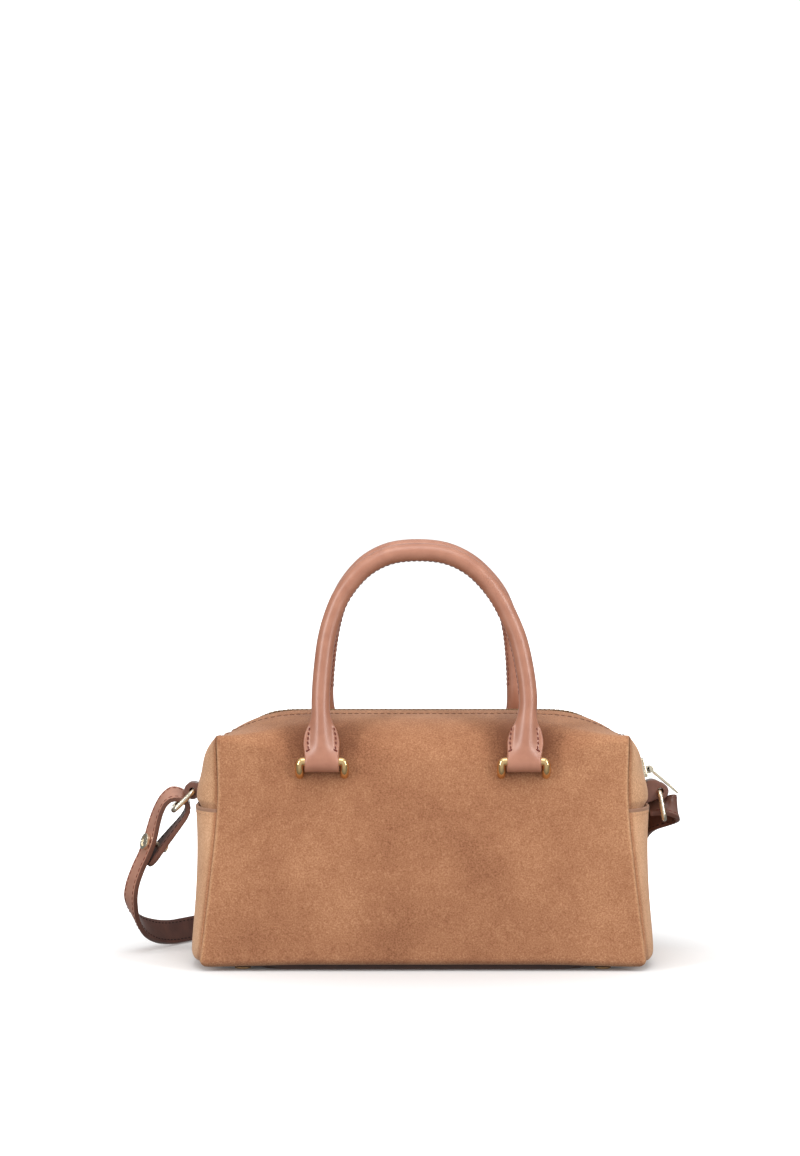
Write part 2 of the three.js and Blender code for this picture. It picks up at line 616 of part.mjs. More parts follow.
// Slider in its own frame: X runs down along the zip, Y across, Z out of the bag
function sliderGeometry() {
  const { length, half, plate_from, plate_to, lip_to, lip_inner } = SLIDER;
  const corner = (x, y, z) => new THREE.Vector3(x, y, z);
  const lug = SLIDER_LUG;
  const top = boxBetween(corner(-length / 2, -half, plate_from), corner(length / 2, half, plate_to));
  let slider = solidOf(top);
  for (const side of [-1, 1]) {
    const lipLow = corner(-length / 2, side > 0 ? lip_inner : -half, lip_to);
    const lipHigh = corner(length / 2, side > 0 ? half : -lip_inner, plate_from + WALL / 4);
    slider = slider.add(solidOf(boxBetween(lipLow, lipHigh)));
    const lugLow = corner(lug.along - lug.radius, side > 0 ? lug.inner : -lug.outer, plate_to - WALL / 4);
    const lugHigh = corner(lug.along + lug.radius, side > 0 ? lug.outer : -lug.inner, lug.out);
    slider = slider.add(solidOf(boxBetween(lugLow, lugHigh)));
    const round = new THREE.CylinderGeometry(lug.radius, lug.radius, lug.outer - lug.inner, ROUND_SIDES);
    round.translate(lug.along, (side * (lug.inner + lug.outer)) / 2, 0).translate(0, 0, lug.out);
    slider = slider.add(solidOf(round));
  }
  const pinLength = lug.inner + lug.outer;
  const pin = new THREE.CylinderGeometry(PULLER_PIN_RADIUS, PULLER_PIN_RADIUS, pinLength, ROUND_SIDES);
  return geometryOf(slider.add(solidOf(pin.translate(lug.along, 0, lug.out))));
}

// Puller in its own frame: it points along +X from its pin, which runs along Y
function pullerGeometry() {
  const { length, half, thick, barrel, barrel_half, shoulder } = PULLER;
  const corner = (x, y, z) => new THREE.Vector3(x, y, z);
  const neck = boxBetween(corner(0, -barrel_half, -thick / 2), corner(shoulder + 1, barrel_half, thick / 2));
  const tongue = boxBetween(corner(shoulder, -half, -thick / 2), corner(length - half, half, thick / 2));
  const tip = new THREE.CylinderGeometry(half, half, thick, ROUND_SIDES);
  tip.rotateX(PI / 2).translate(length - half, 0, 0);
  const tube = new THREE.CylinderGeometry(barrel, barrel, 2 * barrel_half, ROUND_SIDES);
  const boreRadius = PULLER_PIN_RADIUS + GAP;
  const bore = new THREE.CylinderGeometry(boreRadius, boreRadius, 4 * barrel_half, ROUND_SIDES);
  const whole = solidOf(tube).add(solidOf(neck)).add(solidOf(tongue)).add(solidOf(tip));
  return geometryOf(whole.subtract(solidOf(bore)));
}

// Middle line of a handle from its left bar to its right bar, with the section's sizes on the way
function handleStations(extra) {
  const stretch = (ARCH_TOP_RISE + extra) / ARCH_TOP_RISE;
  const tube = { half_width: TUBE_RADIUS, ridge: TUBE_RADIUS, flat: 0 };
  const half = [];
  for (const row of FOOT_ROWS) {
    half.push({ ...row, half: lerp(BAR_X, ARCH_ROWS[0].half, row.rise / ARCH_ROWS[0].rise) });
  }
  for (const row of ARCH_ROWS) {
    half.push({ half: row.half, rise: row.rise * stretch, ...tube });
  }
  const top = { half: 0, rise: ARCH_TOP_RISE * stretch, ...tube };
  const swayFrom = ARCH_ROWS[0].rise;
  const place = (row, side) => {
    const sway = HANDLE_SWAY * smoothstep(row.rise, swayFrom, ARCH_TOP_RISE);
    return { ...row, middle: new THREE.Vector3(side * row.half + sway, 0, row.rise) };
  };
  const left = half.map((row) => place(row, -1));
  const right = [...half].reverse().map((row) => place(row, 1));
  return [...left, place(top, 1), ...right];
}

// A section of the handle: a circle that opens into a flat foot with a ridge on its front
function handleSection({ half_width, ridge, flat }) {
  return Array.from({ length: ROUND_SIDES }, (_, k) => {
    const turn = (2 * PI * k) / ROUND_SIDES;
    const wide = half_width * cos(turn);
    const swell = sqrt(max(1 - (wide / TUBE_RADIUS) ** 2, 0));
    const front = sin(turn) > 0;
    const level = front ? lerp(WING_HALF_THICK, ridge, swell) : -WING_HALF_THICK;
    const edge = abs(sin(turn)) < WELD;
    return {
      wide: lerp(TUBE_RADIUS * cos(turn), wide, flat),
      out: lerp(TUBE_RADIUS * sin(turn), edge ? 0 : level, flat),
    };
  });
}

// A handle in its own frame: the bars lie on the X axis and the arch stands up along +Z
function handleGeometry(extra) {
  const stations = handleStations(extra);
  const last = stations.length - 1;
  const rings = stations.map((station, i) => {
    const before = stations[max(i - 1, 0)].middle;
    const after = stations[Math.min(i + 1, last)].middle;
    const along = after.clone().sub(before).normalize();
    const across = new THREE.Vector3(along.z, 0, -along.x);
    return handleSection(station).map(({ wide, out }) => (
      station.middle.clone().addScaledVector(across, wide).add(new THREE.Vector3(0, -out, 0))));
  });
  let handle = solidOf(bodyFromRings(rings));
  for (const side of [-1, 1]) {
    const loop = new THREE.CylinderGeometry(LOOP_OUTER, LOOP_OUTER, 2 * LOOP_HALF, ROUND_SIDES);
    const bore = new THREE.CylinderGeometry(LOOP_BORE, LOOP_BORE, 4 * LOOP_HALF, ROUND_SIDES);
    for (const piece of [loop, bore]) piece.rotateZ(PI / 2).translate(side * BAR_X, 0, 0);
    handle = handle.add(solidOf(loop)).subtract(solidOf(bore));
  }
  return geometryOf(handle);
}

// A leather loop at one end: a folded strip whose stem stands behind the end panel's top edge
function tabGeometry({ side, reach, height, leave_angle }) {
  const shape = new THREE.Shape();
  const edgeClear = GUSSET_TOP + 2 * GAP;
  shape.moveTo(TAB_STEM.inner, TAB_STEM.bottom);
  shape.lineTo(TAB_STEM.outer, TAB_STEM.bottom);
  shape.lineTo(TAB_STEM.outer, edgeClear);
  shape.absarc(reach, height, TAB_LOOP.outer, leave_angle, 2.5 * PI);
  shape.lineTo(TAB_STEM.outer, TAB_STEM.top + TAB_LOOP.bore);
  shape.lineTo(TAB_STEM.inner, TAB_STEM.top);
  const hole = new THREE.Path();
  hole.absarc(reach, height, TAB_LOOP.bore, 0, 2 * PI, true);
  shape.holes.push(hole);
  const settings = { depth: 2 * TAB_HALF_WIDTH, bevelEnabled: false, curveSegments: ROUND_SIDES - 2 };
  const strip = new THREE.ExtrudeGeometry(shape, settings);
  strip.rotateX(PI / 2).translate(0, TAB_HALF_WIDTH, 0);
  return side > 0 ? strip : strip.rotateZ(PI);
}

// A ring in its own frame: one long bar on the Y axis, the other bar out along +X
function ringGeometry() {
  const cornerSteps = 3;
  const half = RING_WIDE / 2 - RING_CORNER;
  const corners = [
    { x: RING_LONG - RING_CORNER, y: half, start: 0 },
    { x: RING_CORNER, y: half, start: PI / 2 },
    { x: RING_CORNER, y: -half, start: PI },
    { x: RING_LONG - RING_CORNER, y: -half, start: 1.5 * PI },
  ];
  const points = corners.flatMap(({ x, y, start }) => (
    Array.from({ length: cornerSteps + 1 }, (_, i) => {
      const turn = start + (PI / 2) * (i / cornerSteps);
      return new THREE.Vector3(x + RING_CORNER * cos(turn), y + RING_CORNER * sin(turn), 0);
    })));
  return wireAlong(points, RING_WIRE, RING_SIDES, new THREE.Vector3(0, 0, 1), true);
}

// Rows of the whole strap; its hidden stretch is a plain half circle on the floor behind the bag
function strapRows() {
  const turn = [];
  for (let i = 0; i <= STRAP_TURN.steps; i += 1) {
    const angle = PI - (PI * i) / STRAP_TURN.steps;
    const x = STRAP_TURN.x * cos(angle);
    const y = STRAP_TURN.y + STRAP_TURN.x * sin(angle);
    turn.push({ x, y, z: STRAP_TURN.height, wx: 0, wy: 0, wz: 1 });
  }
  return [...STRAP_LEFT_ROWS, ...turn, ...STRAP_RIGHT_ROWS];
}

// Frames along the strap: middle, direction along, direction of the width and outward face
function strapFrames() {
  const rows = strapRows();
  const line = new THREE.CatmullRomCurve3(rows.map(({ x, y, z }) => new THREE.Vector3(x, y, z)));
  const count = (rows.length - 1) * STRAP_STEPS;
  return Array.from({ length: count + 1 }, (_, i) => {
    const middle = line.getPoint(i / count);
    const along = line.getTangent(i / count);
    const row = Math.min(Math.floor(i / STRAP_STEPS), rows.length - 2);
    const part = i / STRAP_STEPS - row;
    const mix = (key) => lerp(rows[row][key], rows[row + 1][key], part);
    const width = new THREE.Vector3(mix('wx'), mix('wy'), mix('wz'));
    width.addScaledVector(along, -width.dot(along)).normalize();
    const face = along.clone().cross(width);
    const low = abs(width.z) * STRAP_WIDTH / 2 + abs(face.z) * STRAP_THICK / 2;
    middle.z = max(middle.z, low + STRAP_FLOOR_CLEARANCE);
    return { middle, along, width, face };
  });
}

const strap = strapFrames();

// The stud's axis starts on the strap's outer strand and points out of the loop
const studFrame = strap[STUD_ROW * STRAP_STEPS];
const studOut = studFrame.face.clone().multiplyScalar(sign(studFrame.face.x) * -1);

function strapGeometry() {
  const rings = strap.map(({ middle, width, face }) => (
    [[-1, -1], [1, -1], [1, 1], [-1, 1]].map(([w, f]) => (
      middle.clone()
        .addScaledVector(width, (w * STRAP_WIDTH) / 2)
        .addScaledVector(face, (f * STRAP_THICK) / 2)))));
  const hole = new THREE.CylinderGeometry(STUD.post + GAP, STUD.post + GAP, 4 * STUD.grip, ROUND_SIDES);
  const turn = new THREE.Quaternion().setFromUnitVectors(new THREE.Vector3(0, 1, 0), studOut);
  hole.applyQuaternion(turn).translate(studFrame.middle.x, studFrame.middle.y, studFrame.middle.z);
  return geometryOf(solidOf(bodyFromRings(rings)).subtract(solidOf(hole)));
}

// Stud turned round its axis, with its head's underside at y = 0
function studGeometry() {
  const { post, grip, back, back_thick } = STUD;
  const end = -grip - back_thick;
  const dishFloor = STUD_HEAD.thick - STUD_DISH.deep;
  const profile = [
    [0, end], [back, end], [back, -grip], [post, -grip], [post, 0],
    [STUD_HEAD.radius, 0], [STUD_HEAD.radius, STUD_HEAD.rim_height], [STUD_HEAD.rim_radius, STUD_HEAD.thick],
    [STUD_DISH.radius, STUD_HEAD.thick], [STUD_DISH.floor_radius, dishFloor], [0, dishFloor],
  ];
  return new THREE.LatheGeometry(profile.map(([r, y]) => new THREE.Vector2(r, y)), ROUND_SIDES);
}

const bag = new THREE.Group();

function addPiece(name, geometry, finish, parent = bag) {
  const mesh = new THREE.Mesh(geometry, new THREE.MeshStandardMaterial(finish));
  mesh.name = name;
  parent.add(mesh);
  return mesh;
}

const panel = panelGeometry();
addPiece('front_panel', panel, SUEDE);
addPiece('back_panel', panel, SUEDE).scale.y = -1;

const gusset = gussetGeometry();
addPiece('gusset_right', gusset, SUEDE);
addPiece('gusset_left', gusset, SUEDE).rotation.z = PI;

addPiece('base_panel', geometryOf(solidOf(plate(BASE_SHEET)).add(solidOf(plate(BASE_PAD)))), DARK_LEATHER);
const foot = footGeometry();
for (const [place, back] of [['front', -1], ['back', 1]]) {
  for (const [hand, right] of [['left', -1], ['right', 1]]) {
    addPiece(`foot_${place}_${hand}`, foot, BRASS).position.set(right * FOOT.x, back * FOOT.y, 0);
  }
}

addPiece('zip_tape', zipBand(TAPE), TAPE_CLOTH);
addPiece('zip_chain', zipBand(CHAIN), BRASS);

// The slider sits on the right end; its puller leans on the loop below
const sliderPlace = new THREE.Group();
sliderPlace.position.set(topLineReach(SLIDER_HEIGHT), 0, SLIDER_HEIGHT);
sliderPlace.rotation.y = END_TURN;
bag.add(sliderPlace);
addPiece('zip_slider', sliderGeometry(), PALE_BRASS, sliderPlace);
const puller = addPiece('zip_puller', pullerGeometry(), PALE_BRASS, sliderPlace);
puller.position.set(SLIDER_LUG.along, 0, SLIDER_LUG.out);
puller.rotation.y = PULLER_DROP - END_TURN;

// Handles and staples; the back ones are the front ones mirrored, with a slightly taller handle
const handleSides = [
  { name: 'front', back: 1, extra: 0 },
  { name: 'back', back: -1, extra: HANDLE_BACK_EXTRA },
];
const staple = stapleWire(STAPLE_WIRE);
for (const { name, back, extra } of handleSides) {
  const half = new THREE.Group();
  half.scale.y = back;
  bag.add(half);
  const handle = addPiece(`handle_${name}`, handleGeometry(extra), SMOOTH_LEATHER, half);
  handle.position.set(0, -BAR_REACH, BAR_HEIGHT);
  handle.rotation.x = -HANDLE_LEAN;
  for (const [hand, right] of [['left', -1], ['right', 1]]) {
    const bar = addPiece(`staple_${name}_${hand}`, staple, BRASS, half);
    bar.position.set(right * BAR_X, -BAR_REACH, BAR_HEIGHT);
  }
}

// Loops and rings at the two ends
const ring = ringGeometry();
for (const [hand, fitting] of Object.entries(END_FITTINGS)) {
  addPiece(`tab_${hand}`, tabGeometry(fitting), DARK_LEATHER);
  const { side, reach, height, ring_drop, ring_yaw } = fitting;
  const place = new THREE.Group();
  place.position.set(side * (reach + RING_SLACK * cos(ring_drop)), 0, height - RING_SLACK * sin(ring_drop));
  place.rotation.z = (side > 0 ? 0 : PI) + ring_yaw;
  bag.add(place);
  addPiece(`ring_${hand}`, ring, PALE_BRASS, place).rotation.y = ring_drop;
}

addPiece('shoulder_strap', strapGeometry(), STRAP_LEATHER);
const stud = addPiece('strap_stud', studGeometry(), PALE_BRASS);
stud.quaternion.setFromUnitVectors(new THREE.Vector3(0, 1, 0), studOut);
stud.position.copy(studFrame.middle).addScaledVector(studOut, STRAP_THICK / 2 + GAP);

export default bag;
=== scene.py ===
# %% [markdown]
# A small suede handbag, dressed in Blender.
# The imported model already holds every piece at its real size and place, so this lesson only adds what
# the eye looks for: soft walls, rolled edges, stitches, zip teeth, nap, grain and polish.

# %% Load the frame
from math import acos, asin, atan2, cos, hypot, pi, radians, sin, sqrt, tan

import bpy
import numpy as np
from mathutils import Matrix, Vector, noise


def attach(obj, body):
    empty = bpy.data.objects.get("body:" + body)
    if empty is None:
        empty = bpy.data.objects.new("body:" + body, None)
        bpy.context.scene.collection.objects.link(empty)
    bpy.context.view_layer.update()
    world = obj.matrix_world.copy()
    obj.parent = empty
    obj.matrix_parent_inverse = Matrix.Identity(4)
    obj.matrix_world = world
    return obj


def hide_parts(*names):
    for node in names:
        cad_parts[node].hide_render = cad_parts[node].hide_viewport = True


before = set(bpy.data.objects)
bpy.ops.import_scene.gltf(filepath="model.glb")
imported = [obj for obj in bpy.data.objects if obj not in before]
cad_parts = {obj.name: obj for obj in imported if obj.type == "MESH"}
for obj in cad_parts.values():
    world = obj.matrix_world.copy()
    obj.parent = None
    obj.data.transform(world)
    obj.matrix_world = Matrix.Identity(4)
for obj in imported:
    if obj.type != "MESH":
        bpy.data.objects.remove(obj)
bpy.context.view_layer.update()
MM = 0.001

# %% [markdown]
# The camera comes first, because the strap has to stay where the camera expects it.
# The photograph is a level shot from about a metre and a half, a little left of the bag's middle.
# Its long side is 1156 pixels and the lens is long, so upright lines stay upright.

# %% Camera
IMAGE_LONG_SIDE = 1156
FOCAL_PIXELS = 2700
SENSOR_MM = 36
EYE_MM = (-12.8, -1560, 219)

bpy.ops.object.select_all(action="DESELECT")
bpy.ops.object.camera_add(location=Vector(EYE_MM) * MM, rotation=(pi / 2, 0, 0))
camera = bpy.context.object
camera.name = "photo_camera"
camera.data.sensor_width = SENSOR_MM
camera.data.lens = FOCAL_PIXELS * SENSOR_MM / IMAGE_LONG_SIDE
bpy.context.scene.camera = camera
print("lens mm:", round(camera.data.lens, 2))

# %% [markdown]
# A product studio: a white floor, a white backdrop, and dark sides that give leather and brass something
# to mirror. The floor is so wide that its far edge melts into the backdrop, so no horizon shows. Far from
# the bag it glows a little, because no lamp reaches there, and it doesn't light the bag from below.
# Two upright soft boxes draw the pale stripes on the rolled handles, and one above lights the top.

# %% Studio floor, sky and lamps
FLOOR_HALF = 30.0
SKY_DIM, BACKDROP, OVERHEAD, FRONT_FILL = 0.2, 0.92, 0.9, 0.5
BACKDROP_FROM, BACKDROP_FULL = 0.92, 0.97
GLOW, GLOW_FROM, GLOW_FULL = 0.95, 0.07, 0.42


def linear(colour):
    """An sRGB hex colour as the linear values that Blender's sockets take."""
    channels = [int(colour[i:i + 2], 16) / 255 for i in (1, 3, 5)]
    return tuple(c / 12.92 if c <= 0.04045 else ((c + 0.055) / 1.055) ** 2.4 for c in channels) + (1.0,)


def add(tree, kind, inputs=None, **settings):
    """One shader node with its settings; each named input gets a value or a link."""
    made = tree.nodes.new("ShaderNode" + kind)
    for key, value in settings.items():
        setattr(made, key, value)
    for key, value in (inputs or {}).items():
        if isinstance(value, bpy.types.NodeSocket):
            tree.links.new(value, made.inputs[key])
        else:
            made.inputs[key].default_value = value
    return made


def new_finish(name):
    """A material with its tree, its shader and its object coordinates."""
    material = bpy.data.materials.new(name)
    material.use_nodes = True
    tree = material.node_tree
    return material, tree, tree.nodes["Principled BSDF"], add(tree, "TexCoord").outputs["Object"]


bpy.ops.mesh.primitive_plane_add(size=2 * FLOOR_HALF)
floor = bpy.context.object
floor.name = "studio_floor"
floor.visible_diffuse = False
floor.visible_glossy = False

paper, tree, shader, place = new_finish("white_paper")
away = add(tree, "VectorMath", {0: place}, operation="LENGTH")
glow = add(tree, "MapRange", {"Value": away.outputs["Value"], "From Min": GLOW_FROM, "From Max": GLOW_FULL,
                              "To Max": GLOW}, interpolation_type="SMOOTHSTEP")
tree.links.new(glow.outputs[0], shader.inputs["Emission Strength"])
shader.inputs["Emission Color"].default_value = (1, 1, 1, 1)
shader.inputs["Base Color"].default_value = linear("#ececec")
shader.inputs["Roughness"].default_value = 0.9
shader.inputs["Specular IOR Level"].default_value = 0.1
floor.data.materials.append(paper)

world = bpy.data.worlds.new("studio_sky")
bpy.context.scene.world = world
world.use_nodes = True
tree = world.node_tree
way = add(tree, "SeparateXYZ", {"Vector": add(tree, "TexCoord").outputs["Generated"]})
backdrop = add(tree, "MapRange", {"Value": way.outputs["Y"], "From Min": BACKDROP_FROM,
                                  "From Max": BACKDROP_FULL, "To Min": SKY_DIM,
                                  "To Max": SKY_DIM + BACKDROP}, interpolation_type="SMOOTHSTEP")
overhead = add(tree, "Math", {0: way.outputs["Z"], 1: 0.0}, operation="MAXIMUM")
overhead = add(tree, "Math", {0: overhead.outputs[0], 1: 2.0}, operation="POWER")
sky = add(tree, "Math", {0: overhead.outputs[0], 1: OVERHEAD, 2: backdrop.outputs[0]},
          operation="MULTIPLY_ADD")
fill = add(tree, "Math", {0: way.outputs["Y"], 1: 0.0}, operation="MINIMUM")
fill = add(tree, "Math", {0: fill.outputs[0], 1: fill.outputs[0]}, operation="MULTIPLY")
sky = add(tree, "Math", {0: fill.outputs[0], 1: FRONT_FILL, 2: sky.outputs[0]}, operation="MULTIPLY_ADD")
tree.links.new(sky.outputs[0], tree.nodes["Background"].inputs["Strength"])
tree.nodes["Background"].inputs["Color"].default_value = (1, 1, 1, 1)
bpy.context.scene.view_settings.view_transform = "Standard"

LAMPS = {
    "soft_box_left": {"at": (-1.34, -1.2, 0.6), "aim": (0, 0, 0.14), "size": (0.34, 1.4), "watts": 16},
    "soft_box_right": {"at": (1.34, -1.2, 0.6), "aim": (0, 0, 0.14), "size": (0.34, 1.4), "watts": 16},
    "soft_box_above": {"at": (0.0, -0.8, 1.5), "aim": (0, 0, 0.1), "size": (1.2, 0.8), "watts": 8},
}
for lamp_name, lamp in LAMPS.items():
    bpy.ops.object.light_add(type="AREA", location=lamp["at"])
    box = bpy.context.object
    box.name = lamp_name
    box.data.shape = "RECTANGLE"
    box.data.size, box.data.size_y = lamp["size"]
    box.data.energy = lamp["watts"]
    box.rotation_euler = (Vector(lamp["aim"]) - box.location).to_track_quat("-Z", "Y").to_euler()
print("lamps:", len(LAMPS))

# %% [markdown]
# Suede is the flesh side of a hide, sanded until short fibres stand up.
# It has no gloss, its colour shifts where the nap is brushed another way, and it looks paler at a
# grazing angle. Three noises at real sizes give the speckle, the mottling and the brushed patches.
# The real fibres are finer than a pixel, so the speckle is drawn at about a millimetre.
# Where a piece says so with its own attribute, the cut edge is painted: brown by the zip, taupe on the ends.

# %% Suede
def per_mm(size):
    """Texture scale whose features are this many millimetres wide."""
    return 1 / (size * MM)


LIGHT_STOP = 0.72
PATCH_MM, MOTTLE_MM, SPECKLE_MM = 34, 6, 0.85
PATCH_SHARE, MOTTLE_SHARE, SPECKLE_SHARE, SHADE_OFFSET = 0.62, 0.27, 1.65, -0.77
PILE_MOTTLE, PILE_DEPTH = 0.4, 0.35


def suede_finish(name, dark, middle, light, pale, edge):
    material, tree, shader, place = new_finish(name)
    patches = add(tree, "TexNoise", {"Vector": place, "Scale": per_mm(PATCH_MM), "Detail": 2.0})
    mottle = add(tree, "TexNoise", {"Vector": place, "Scale": per_mm(MOTTLE_MM), "Detail": 3.0})
    speckle = add(tree, "TexNoise", {"Vector": place, "Scale": per_mm(SPECKLE_MM), "Detail": 3.0,
                                     "Roughness": 0.7})
    # A point attribute of painted light and shade, with broad tone patches, added to the noise below.
    painted_light_and_nap = add(tree, "Attribute", attribute_name="nap_and_painted_light")
    painted = add(tree, "Attribute", attribute_name="edge_paint")
    shade = SHADE_OFFSET
    for pattern, share in ((patches, PATCH_SHARE), (mottle, MOTTLE_SHARE), (speckle, SPECKLE_SHARE)):
        shade = add(tree, "Math", {0: pattern.outputs["Fac"], 1: share, 2: shade},
                    operation="MULTIPLY_ADD").outputs[0]
    shade = add(tree, "Math", {0: painted_light_and_nap.outputs["Fac"], 1: shade}, operation="ADD")
    shade = add(tree, "Math", {0: shade.outputs[0], 1: LIGHT_STOP}, operation="MULTIPLY")
    ramp = add(tree, "ValToRGB", {"Fac": shade.outputs[0]})
    for stop, colour in ((LIGHT_STOP / 2, middle), (LIGHT_STOP, light)):
        ramp.color_ramp.elements.new(stop).color = linear(colour)
    ramp.color_ramp.elements[0].color = linear(dark)
    ramp.color_ramp.elements[-1].color = linear(pale)
    colour = add(tree, "Mix", {0: painted.outputs["Fac"], 6: ramp.outputs["Color"], 7: linear(edge)},
                 data_type="RGBA")
    pile = add(tree, "Math", {0: mottle.outputs["Fac"], 1: PILE_MOTTLE, 2: speckle.outputs["Fac"]},
               operation="MULTIPLY_ADD")
    bump = add(tree, "Bump", {"Height": pile.outputs[0], "Strength": 0.55, "Distance": PILE_DEPTH * MM})
    tree.links.new(colour.outputs[2], shader.inputs["Base Color"])
    tree.links.new(bump.outputs["Normal"], shader.inputs["Normal"])
    shader.inputs["Roughness"].default_value = 0.95
    shader.inputs["Specular IOR Level"].default_value = 0.12
    shader.inputs["Sheen Weight"].default_value = 0.32
    shader.inputs["Sheen Roughness"].default_value = 0.45
    shader.inputs["Sheen Tint"].default_value = linear("#f6dfcb")
    return material


tan_suede = suede_finish("tan_suede_panel", "#7b4e37", "#a27051", "#c3926d", "#e2b48e", "#5a3929")
# A paler copy of the suede for the lower ends: painted light from the side lamps and sheen; its edge colour
# is the taupe edge paint.
lit_end_suede = suede_finish("tan_suede_end_painted_light", "#88583f", "#b07b5a", "#cf9d77", "#e6b892", "#9e7862")
print("made", tan_suede.name, lit_end_suede.name)

# %% [markdown]
# The handles, the strap and the end loops are smooth leather: a finished grain side with shallow
# pores, a soft gloss and edges sealed with dark paint. A cell pattern makes the pores, and a slow noise
# keeps the colour from being flat.

# %% Smooth leathers and edge paint
CLOUD_MM, COAT_ROUGHNESS = 9, 0.36


def leather_finish(name, dark, light, gloss_roughness, pore_mm=0.55, pore_depth=0.06, polish=0.0, deep=None):
    material, tree, shader, place = new_finish(name)
    cloud = add(tree, "TexNoise", {"Vector": place, "Scale": per_mm(CLOUD_MM), "Detail": 4.0})
    pores = add(tree, "TexVoronoi", {"Vector": place, "Scale": per_mm(pore_mm)})
    spread = add(tree, "MapRange", {"Value": cloud.outputs["Fac"], "From Min": 0.3, "From Max": 0.7})
    colour = add(tree, "Mix", {0: spread.outputs[0], 6: linear(dark), 7: linear(light)}, data_type="RGBA")
    # deep is a painted shade colour, mixed in where the point attribute says.
    if deep:
        painted_shade = add(tree, "Attribute", attribute_name="painted_shade")
        colour = add(tree, "Mix", {0: painted_shade.outputs["Fac"], 6: colour.outputs[2], 7: linear(deep)},
                     data_type="RGBA")
    rough = add(tree, "MapRange", {"Value": cloud.outputs["Fac"], "To Min": gloss_roughness - 0.06,
                                   "To Max": gloss_roughness + 0.08})
    bump = add(tree, "Bump", {"Height": pores.outputs["Distance"], "Strength": 0.5,
                              "Distance": pore_depth * MM})
    tree.links.new(colour.outputs[2], shader.inputs["Base Color"])
    tree.links.new(rough.outputs[0], shader.inputs["Roughness"])
    tree.links.new(bump.outputs["Normal"], shader.inputs["Normal"])
    shader.inputs["IOR"].default_value = 1.48
    shader.inputs["Coat Weight"].default_value = polish
    shader.inputs["Coat Roughness"].default_value = COAT_ROUGHNESS
    return material


handle_leather = leather_finish("tan_calf_leather", "#a66d55", "#b67d64", 0.36, polish=0.6)
# The strap's deep colour is painted shade for its right end.
strap_leather = leather_finish("tan_strap_leather", "#a9745f", "#b9846d", 0.3, polish=0.3, deep="#704a3c")
strap_lining = leather_finish("dark_strap_lining", "#5c372d", "#70483b", 0.38, pore_mm=0.9, pore_depth=0.12)
loop_leather = leather_finish("brown_loop_leather", "#6b4637", "#7d5546", 0.36)
# Partly painted shade: the base's colour is the dark band under the bag, which is both the dark leather and
# the shade it sits in.
base_leather_and_shade = leather_finish("dark_base_leather_and_shade", "#38231b", "#472d23", 0.55)
dark_edge = leather_finish("dark_edge_paint", "#6b463a", "#7d5446", 0.36, pore_mm=1.4, pore_depth=0.03)
print("made leathers:", sum("leather" in m.name for m in bpy.data.materials))

# %% [markdown]
# Brass fittings are plated and polished, with faint rubbing marks that only change the gloss.
# The staples are a warm antique gold; rings, stud, slider and puller are paler, zip teeth and feet dull.
# Thread is twisted polyester, so it gets fine slanting ribs. Zip tape is a tight cloth.

# %% Brass, thread and cloth
RUB_MM, RIB_DEPTH = 2.5, 0.08


def brass_finish(name, colour, gloss_roughness):
    material, tree, shader, place = new_finish(name)
    rubbed = add(tree, "TexNoise", {"Vector": place, "Scale": per_mm(RUB_MM), "Detail": 5.0})
    rough = add(tree, "MapRange", {"Value": rubbed.outputs["Fac"], "To Min": gloss_roughness - 0.05,
                                   "To Max": gloss_roughness + 0.1})
    tree.links.new(rough.outputs[0], shader.inputs["Roughness"])
    shader.inputs["Base Color"].default_value = linear(colour)
    shader.inputs["Metallic"].default_value = 1.0
    return material


def thread_finish(name, dark, light, rib_mm):
    material, tree, shader, place = new_finish(name)
    ribs = add(tree, "TexWave", {"Vector": place, "Scale": per_mm(rib_mm) / (2 * pi), "Distortion": 1.5},
               bands_direction="DIAGONAL")
    colour = add(tree, "Mix", {0: ribs.outputs["Fac"], 6: linear(dark), 7: linear(light)}, data_type="RGBA")
    bump = add(tree, "Bump", {"Height": ribs.outputs["Fac"], "Strength": 0.4, "Distance": RIB_DEPTH * MM})
    tree.links.new(colour.outputs[2], shader.inputs["Base Color"])
    tree.links.new(bump.outputs["Normal"], shader.inputs["Normal"])
    shader.inputs["Roughness"].default_value = 0.7
    return material


antique_gold = brass_finish("antique_gold_brass", "#e9c48c", 0.14)
pale_gold = brass_finish("pale_gold_brass", "#efe4cc", 0.12)
dull_gold = brass_finish("dull_gold_brass", "#9a7a58", 0.42)
brown_thread = thread_finish("brown_seam_thread", "#54301f", "#6c4029", 0.5)
dark_thread = thread_finish("dark_red_thread", "#5a1f14", "#7a3324", 0.5)
deep_thread = thread_finish("deep_brown_thread", "#26100b", "#3c1e16", 0.5)
pale_thread = thread_finish("pale_tan_thread", "#b98a68", "#d3a783", 0.5)
tape_cloth = thread_finish("zip_tape_cloth", "#5e3c28", "#77503a", 0.6)
print("materials:", len(bpy.data.materials))

# %% [markdown]
# A few hand tools are used again and again below.
# A loft adds a grid and carries its points to their places, which is how a soft wall is shaped.
# A finishing tool adds a modifier and applies it. A dressing tool gives a piece its finish and its body.

# %% Tools for making and dressing pieces
def only(piece):
    """Selects one piece and nothing else, so that the next operator acts on it alone."""
    bpy.ops.object.select_all(action="DESELECT")
    piece.select_set(True)
    bpy.context.view_layer.objects.active = piece


def edit(piece, *steps):
    """Runs edit-mode operators on the whole of one piece."""
    only(piece)
    bpy.ops.object.mode_set(mode="EDIT")
    bpy.ops.mesh.select_all(action="SELECT")
    for operator, settings in steps:
        operator(**settings)
    bpy.ops.object.mode_set(mode="OBJECT")


